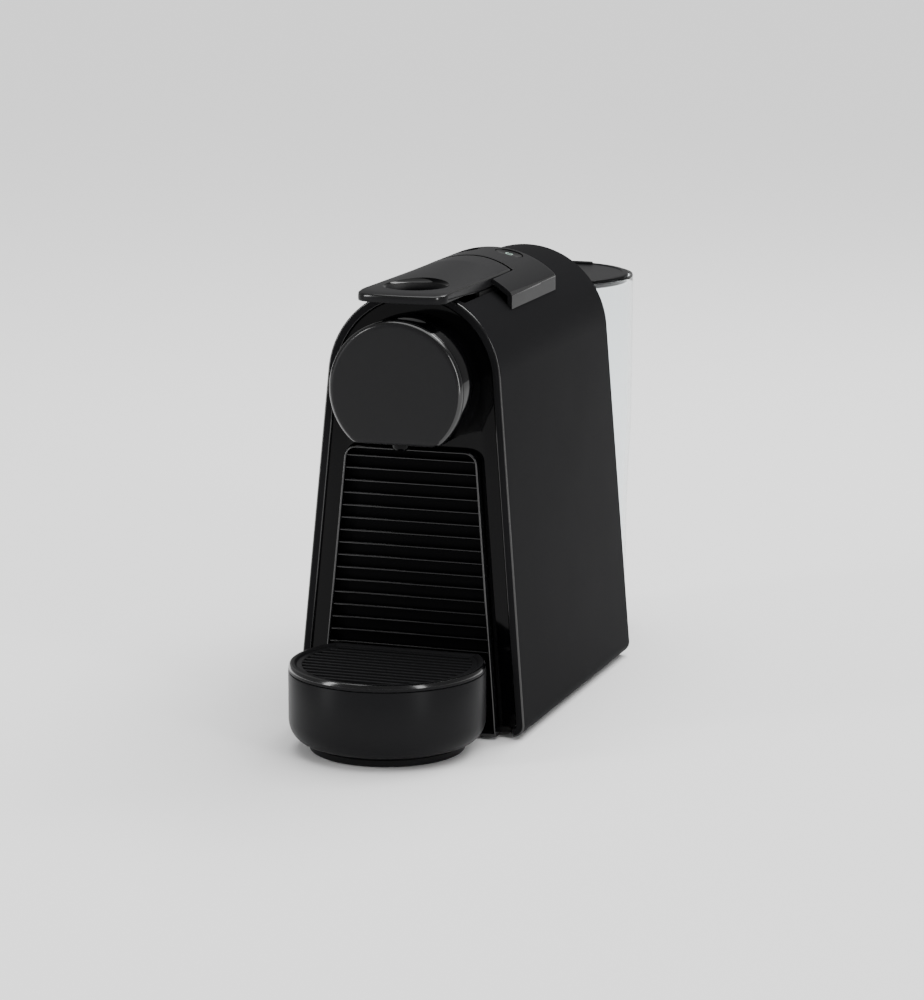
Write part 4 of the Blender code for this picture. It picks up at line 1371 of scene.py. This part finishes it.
@dataclass
class LouvredDrawer:
    """The drawer's polished front: a shallow tray of thin horizontal fins."""

    offset: float = 12.7
    foot: float = 1.5
    top: float = 130.0
    proud: float = -3.6
    face: float = 1.2
    back: float = 3.2
    fin_top: float = 126.0
    pitch: float = 5.73
    count: int = 16
    thick: float = 0.9

    def rim(self) -> Thing:
        """The tray's rim: a rounded section carried round the drawer's outline.

        Returns:
            The closed object.
        """
        turn = np.linspace(math.pi, 0, 9)
        rows = [(self.back, 0.0), (self.proud + 0.5, 0.0)]
        rows += [(self.proud + 0.5 - 0.5 * math.sin(t), 0.5 + 0.5 * math.cos(t)) for t in turn[1:-1]]
        rows += [(self.proud + 0.5, 1.0), (self.back, 1.0)]
        loops = []
        for setback, inset in rows:
            foot, top = self.foot + 2.5 * inset, self.top - inset
            outline = FORM.drawer_outline(self.offset + inset, foot, top, 6.0 - inset)
            loops.append(on_plane(outline, FORM.front_y(setback)))
        return skin("drawer_rim", loops, ring=True)

    def fins(self) -> Thing:
        """The fins: a bar with a round nose, z(k) = top - k pitch, ends inside the rim.

        Returns:
            One object that holds a closed body for each fin.
        """
        turn = np.linspace(-QUARTER, QUARTER, 9)
        half = self.thick / 2
        nose = np.stack([self.proud + 1.0 + half * (1 - np.cos(turn)), half * np.sin(turn)], axis=1)
        section = np.concatenate([nose, [(self.face + 0.4, half), (self.face + 0.4, -half)]])
        middles = self.fin_top - half - self.pitch * np.arange(self.count)
        z = middles[:, None, None] + section[None, None, :, 1]
        side = np.array([-1.0, 1.0])[None, :, None]
        x = side * FORM.side_x(z, self.offset + 0.5)
        y = FORM.front + FORM.front_lean * z + section[None, None, :, 0] + 0 * x
        return many_skins("drawer_fins", np.stack([x, y, z + 0 * x], axis=-1))

    def build(self) -> None:
        """Makes the plate, the rim, the fins and the capsule container."""
        outline = FORM.drawer_outline(self.offset + 0.3, self.foot, self.top - 0.3)
        plate = skin("drawer_plate", [on_plane(outline, FORM.front_y(y)) for y in (self.face, self.back)])
        # the plate keeps its own black here; this finish's painted shade is on the finger hole's wall
        dress(plate, Body.DRAWER, Slot.GLOSS_BLACK, RECESS_BLACK_AND_PAINTED_SHADE, "drawer_front")
        dress(self.rim(), Body.DRAWER, Slot.GLOSS_BLACK, EDGE, "drawer_front")
        dress(self.fins(), Body.DRAWER, Slot.GLOSS_BLACK, EDGE, "drawer_front")
        levels = [(6.0, 1.0), (6.6, 0.0), (121.6, 0.0), (122.0, 0.4), (121.6, 1.6), (8.4, 1.6), (7.6, 2.4)]
        loops = []
        for z, inset in levels:
            flat = rounded_rectangle(30.5 - inset, -80.2 + inset, 0.5 - inset, max(2.6 - inset, 0.8))
            loops.append(np.column_stack([flat, np.full(len(flat), z)]))
        dress(skin("container_skin", loops), Body.DRAWER, Slot.INNER_BLACK, DULL_AND_PAINTED_SHADE, "capsule_container")


@dataclass
class DripTray:
    """The drum-shaped drip tray and the ribbed grid that lifts off it."""

    y: float = -118.4
    radius: float = 44.1
    wall: float = 2.0
    seam: float = 36.1
    grid_top: float = 39.6
    cut_y: float = -93.0
    pitch: float = 5.0
    rib: float = 1.8

    def build(self) -> None:
        """Makes the drum: a foot ring, an undercut, a quarter-ellipse flank and an open top."""
        inward, along = round_over(14)
        cut, inner = self.cut_y, self.cut_y - self.wall
        levels = [(34.2, cut - 6, 0.4), (34.6, cut - 6, 0.5), (34.8, cut - 6, 0.8), (34.8, cut - 6, 3.2)]
        levels += [(34.3, cut - 6, 3.6), (34.0, cut - 6, 4.5), (36.6, cut, 4.7)]
        levels += [(37.0 + 7.1 * b**1.05, cut, 4.8 + 9.7 * a) for a, b in zip(inward, along)]
        levels += [(self.radius, cut, self.seam - 0.4), (self.radius - 0.15, cut, self.seam - 0.1)]
        levels += [(self.radius - 0.4, cut, self.seam), (self.radius - self.wall, inner, self.seam)]
        levels += [(self.radius - self.wall, inner, 14.5), (39.0, inner, 8.6), (36.0, inner, 7.4)]
        drum = FORM.flat_cup("drum_skin", levels, self.y)
        dress(drum, Body.DRAWER, Slot.SATIN_BLACK, SILK, "drip_tray")
        rim = dress(self.grid_rim(), Body.GRID, Slot.SOFT_BLACK, SILK, "drip_grid")

        def lip_edge(centre: np.ndarray, normal: np.ndarray) -> np.ndarray:
            """Faces of the rim's outer shoulder."""
            reach = np.hypot(centre[:, 0], centre[:, 1] - self.y)
            return (reach > self.radius - 1.6) & (normal[:, 2] > 0.2) & (normal[:, 2] < 0.93)

        trimmed(rim, EDGE, lip_edge)
        dress(self.ribs(), Body.GRID, Slot.SOFT_BLACK, SILK, "drip_grid")

    def grid_rim(self) -> Thing:
        """The grid's rim: a rolled lip that steps down to the rib level.

        Returns:
            The closed ring.
        """
        low, high = self.seam + 0.3, self.grid_top
        lip = [(0.35, low), (0.1, low + 0.15), (0.15, low + 1.3), (0.35, low + 2.2), (0.75, high - 0.35)]
        lip += [(1.4, high - 0.06), (2.0, high), (2.7, high - 0.05), (3.3, high - 0.25)]
        lip += [(3.6, high - 0.6), (3.8, high - 1.0), (6.0, high - 1.05), (6.2, high - 1.3)]
        lip += [(6.2, low + 0.2), (6.0, low)]
        levels = [(self.radius - inset, self.cut_y - max(0.0, inset - 2.0) * 0.9, z) for inset, z in lip]
        return FORM.flat_cup("grid_rim", levels, self.y, ring=True)

    def ribs(self) -> Thing:
        """The ribs: bars with a round back along X, each as long as the circle's chord there.

        Returns:
            One object that holds a closed body for each rib.
        """
        low, high = self.seam + 0.3, self.grid_top - 1.0
        y = np.arange(self.cut_y - 2.5, self.y - self.radius + 8.0, -self.pitch)
        turn = np.linspace(math.pi, 0, 11)
        half = self.rib / 2
        section = np.stack([half * np.cos(turn), high - 0.6 + 0.6 * np.sin(turn)], axis=1)
        section = np.concatenate([section, [(half, low), (-half, low)]])
        reach = np.sqrt(np.maximum((self.radius - 5.0) ** 2 - (y - self.y) ** 2, 4.0))
        x = np.array([-1.0, 1.0])[None, :, None] * reach[:, None, None] + 0 * section[None, None, :, 0]
        yy = y[:, None, None] + section[None, None, :, 0] + 0 * x
        zz = section[None, None, :, 1] + 0 * x
        return many_skins("grid_ribs", np.stack([x, yy, zz], axis=-1))


# ---------------------------------------------------------------- tank


@dataclass
class WaterTank:
    """The clear tank with a flat front, its dark hinged lid and a small finger tab."""

    y: float = 121.0
    flat: float = 84.8
    wall: float = 1.8
    top: float = 182.0
    lid_r: float = 39.0
    lid_top: float = 182.9

    def build(self) -> None:
        """Makes the tank's wall as one skin, inside and out, and the lid."""
        knots = [(38.6, 18.5), (39.0, 35.0), (39.2, 64.0), (40.0, 86.0), (41.0, 107.0)]
        side = spline([*knots, (41.4, 145.0), (41.5, 180.9)], 8)
        foot = [(36.4, 16.5), (37.0, 16.6), (38.1, 17.4)]
        outside = np.concatenate([foot, side, [(41.45, self.top - 0.4), (41.2, self.top)]])
        inside = [(40.2, self.top), (39.8, self.top - 0.3)]
        inside = np.concatenate([inside, (side - (self.wall, 0))[:0:-1]])
        inside = inside[inside[:, 1] > 21.0]
        inside = np.concatenate([inside, [(36.7, 21.4), (36.0, 20.4), (34.8, 20.2)]])
        levels = [(r, self.flat, z) for r, z in outside]
        levels += [(r, self.flat + self.wall, z) for r, z in inside]
        tank = FORM.flat_cup("tank_skin", levels, self.y)
        hole = turned("valve_cut", [(6.0, 0), (6.0, 15)], (0, 104, 10), steps=64)
        dress(carved(tank, hole, crease=50), Body.TANK, Slot.CLEAR, ClearCopolyester(), "water_tank")

        low, near, high, reach = self.lid_top - 4.2, 91.8, self.lid_top, self.lid_r
        insets = [(1.5, 0.9, low), (0.6, 0.4, low + 0.1), (0.0, 0.0, low + 0.5), (0.0, 0.0, high - 0.6)]
        insets += [(0.15, 0.15, high - 0.2), (0.6, 0.6, high), (2.8, 2.8, high), (3.2, 3.2, high - 0.35)]
        lid = FORM.flat_cup("lid_skin", [(reach - a, near + b, z) for a, b, z in insets], self.y)
        dress(lid, Body.LID, Slot.SATIN_BLACK, SILK, "tank_lid")
        hinge, along = (89.2, 179.9), (1, 0, 0)
        ends = [(2.1, 0), (2.2, 0.2), (2.2, 37.8), (2.1, 38)]
        barrel = turned("lid_barrel", ends, (-19, *hinge), along, steps=48)
        bore = turned("bore_cut", [(1.3, 0), (1.3, 60)], (-30, *hinge), along, steps=32)
        dress(carved(barrel, bore), Body.LID, Slot.SATIN_BLACK, SATIN, "tank_lid")
        web = extruded("lid_web", rounded_rectangle(18.5, 90.9, near + 3, 0.3), low + 0.2, low + 2.5, 0.2)
        dress(web, Body.LID, Slot.SATIN_BLACK, SATIN, "tank_lid")
        tab = extruded("lid_tab", rounded_rectangle(12.0, 153.4, 156.8, 1.5), high - 0.8, high + 0.9, 0.35)
        dress(tab, Body.LID, Slot.SATIN_BLACK, SILK, "tank_lid")


# ---------------------------------------------------------------- inside


@dataclass
class Internals:
    """The CAD nodes that stay as they are and get the finish of their real material, except the lever's
    cams, which get dull black as painted shade.
    """

    finishes: dict[Slot, Finish] = field(
        default_factory=lambda: {
            Slot.INNER_BLACK: DULL_AND_PAINTED_SHADE,
            Slot.RUBBER: RUBBER,
            Slot.WHITE: NaturalPolypropylene(),
            Slot.GREY: GlassFilledNylon(),
            Slot.STEEL: BrushedStainless(),
            Slot.ALUMINIUM: CastAluminium(),
            Slot.BRASS: TurnedBrass(),
            Slot.CIRCUIT: CoatedCircuitBoard(),
            Slot.HOSE: SiliconeHose(),
            Slot.SATIN_BLACK: SATIN,
            Slot.GLOSS_BLACK: GLOSS,
            Slot.SOFT_BLACK: SILK,
        }
    )

    def build(self) -> None:
        """Assigns the finishes by the material that each node came with; the lever's cams get dull black
        as painted shade under the lever.
        """
        count = 0
        for name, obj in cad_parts.items():
            if obj.hide_render:
                continue
            for place in obj.material_slots:
                slot = Slot(place.material.name.split(".")[0])
                # painted shade: the lever's cams get the dull black in place of their own material, to
                # stand for the shade under the lever
                if name.startswith("lever_cam"):
                    slot = Slot.INNER_BLACK
                place.material = self.finishes.get(slot, DULL_AND_PAINTED_SHADE).material()
            count += 1
        log.info("internals: %d nodes kept", count)


# ---------------------------------------------------------------- studio


@dataclass
class Lamp:
    """One soft box: a rectangular lamp that looks at a point."""

    name: str
    place: tuple[float, float, float]
    target: tuple[float, float, float]
    size: tuple[float, float]
    power: float

    def build(self) -> None:
        """Makes the lamp."""
        data = bpy.data.lights.new(self.name, "AREA")
        data.shape = "RECTANGLE"
        data.size, data.size_y = self.size
        data.energy = self.power
        made = bpy.data.objects.new(self.name, data)
        made.location = self.place
        made.rotation_euler = (Vector(self.place) - Vector(self.target)).to_track_quat("Z", "Y").to_euler()
        bpy.context.scene.collection.objects.link(made)


@dataclass
class Studio:
    """Floor, soft light and camera."""

    eye: tuple[float, float, float] = (0.5378, -1.5963, 0.4327)
    back: tuple[float, float, float] = (0.3155, -0.9277, 0.1994)
    lens: float = 130.99
    sky: float = 0.35
    overhead: float = 3.4
    lamps: list[Lamp] = field(
        default_factory=lambda: [
            Lamp("right_box", (1.3, -0.9, 0.5), (0, 0, 0.1), (0.26, 1.1), 9.0),
            Lamp("left_box", (-1.0, -0.9, 0.45), (0, -0.1, 0.1), (0.22, 1.0), 8.0),
            Lamp("top_box", (0.3, 0.9, 1.3), (0, 0, 0.15), (1.0, 0.4), 14.0),
        ]
    )

    def build(self) -> None:
        """Makes the floor, the world, the lamps and the camera."""
        side = np.linspace(-6000.0, 6000.0, 3)
        grid = np.stack(np.meshgrid(side, side, indexing="ij"), axis=-1).reshape(-1, 2)
        top = np.column_stack([grid, np.full(len(grid), 0.0)])
        ring = top[[0, 1, 2, 5, 8, 7, 6, 3]]
        floor = skin("floor", [ring - (0, 0, 20.0), ring])
        floor.data.materials.append(PaleFloor().material())
        world = bpy.data.worlds.new("studio")
        world.use_nodes = True
        sky = world.node_tree.nodes["Background"]
        sky.inputs["Color"].default_value = linear("ffffff")
        sky.inputs["Strength"].default_value = self.sky
        bpy.context.scene.world = world
        sun = bpy.data.lights.new("overhead", "SUN")
        sun.energy = self.overhead
        sun.angle = math.radians(70)
        hung = bpy.data.objects.new("overhead", sun)
        hung.rotation_euler = (math.radians(-12), math.radians(8), 0)
        bpy.context.scene.collection.objects.link(hung)
        for lamp in self.lamps:
            lamp.build()
        data = bpy.data.cameras.new("camera")
        data.lens = self.lens
        data.sensor_width = 36.0
        data.dof.use_dof = False
        made = bpy.data.objects.new("camera", data)
        made.location = self.eye
        made.rotation_euler = Vector(self.back).to_track_quat("Z", "Y").to_euler()
        bpy.context.scene.collection.objects.link(made)
        bpy.context.scene.camera = made


def main() -> None:
    """Builds the object and its studio, and reports every piece."""
    logging.basicConfig(level=logging.INFO, format="%(message)s")
    for part in (OuterShell(), FrontPanel(), BrewNose(), Underside(), ControlBridge(), Lever()):
        part.build()
    for part in (LouvredDrawer(), DripTray(), WaterTank(), Internals(), Studio()):
        part.build()


if __name__ == "__main__":
    main()
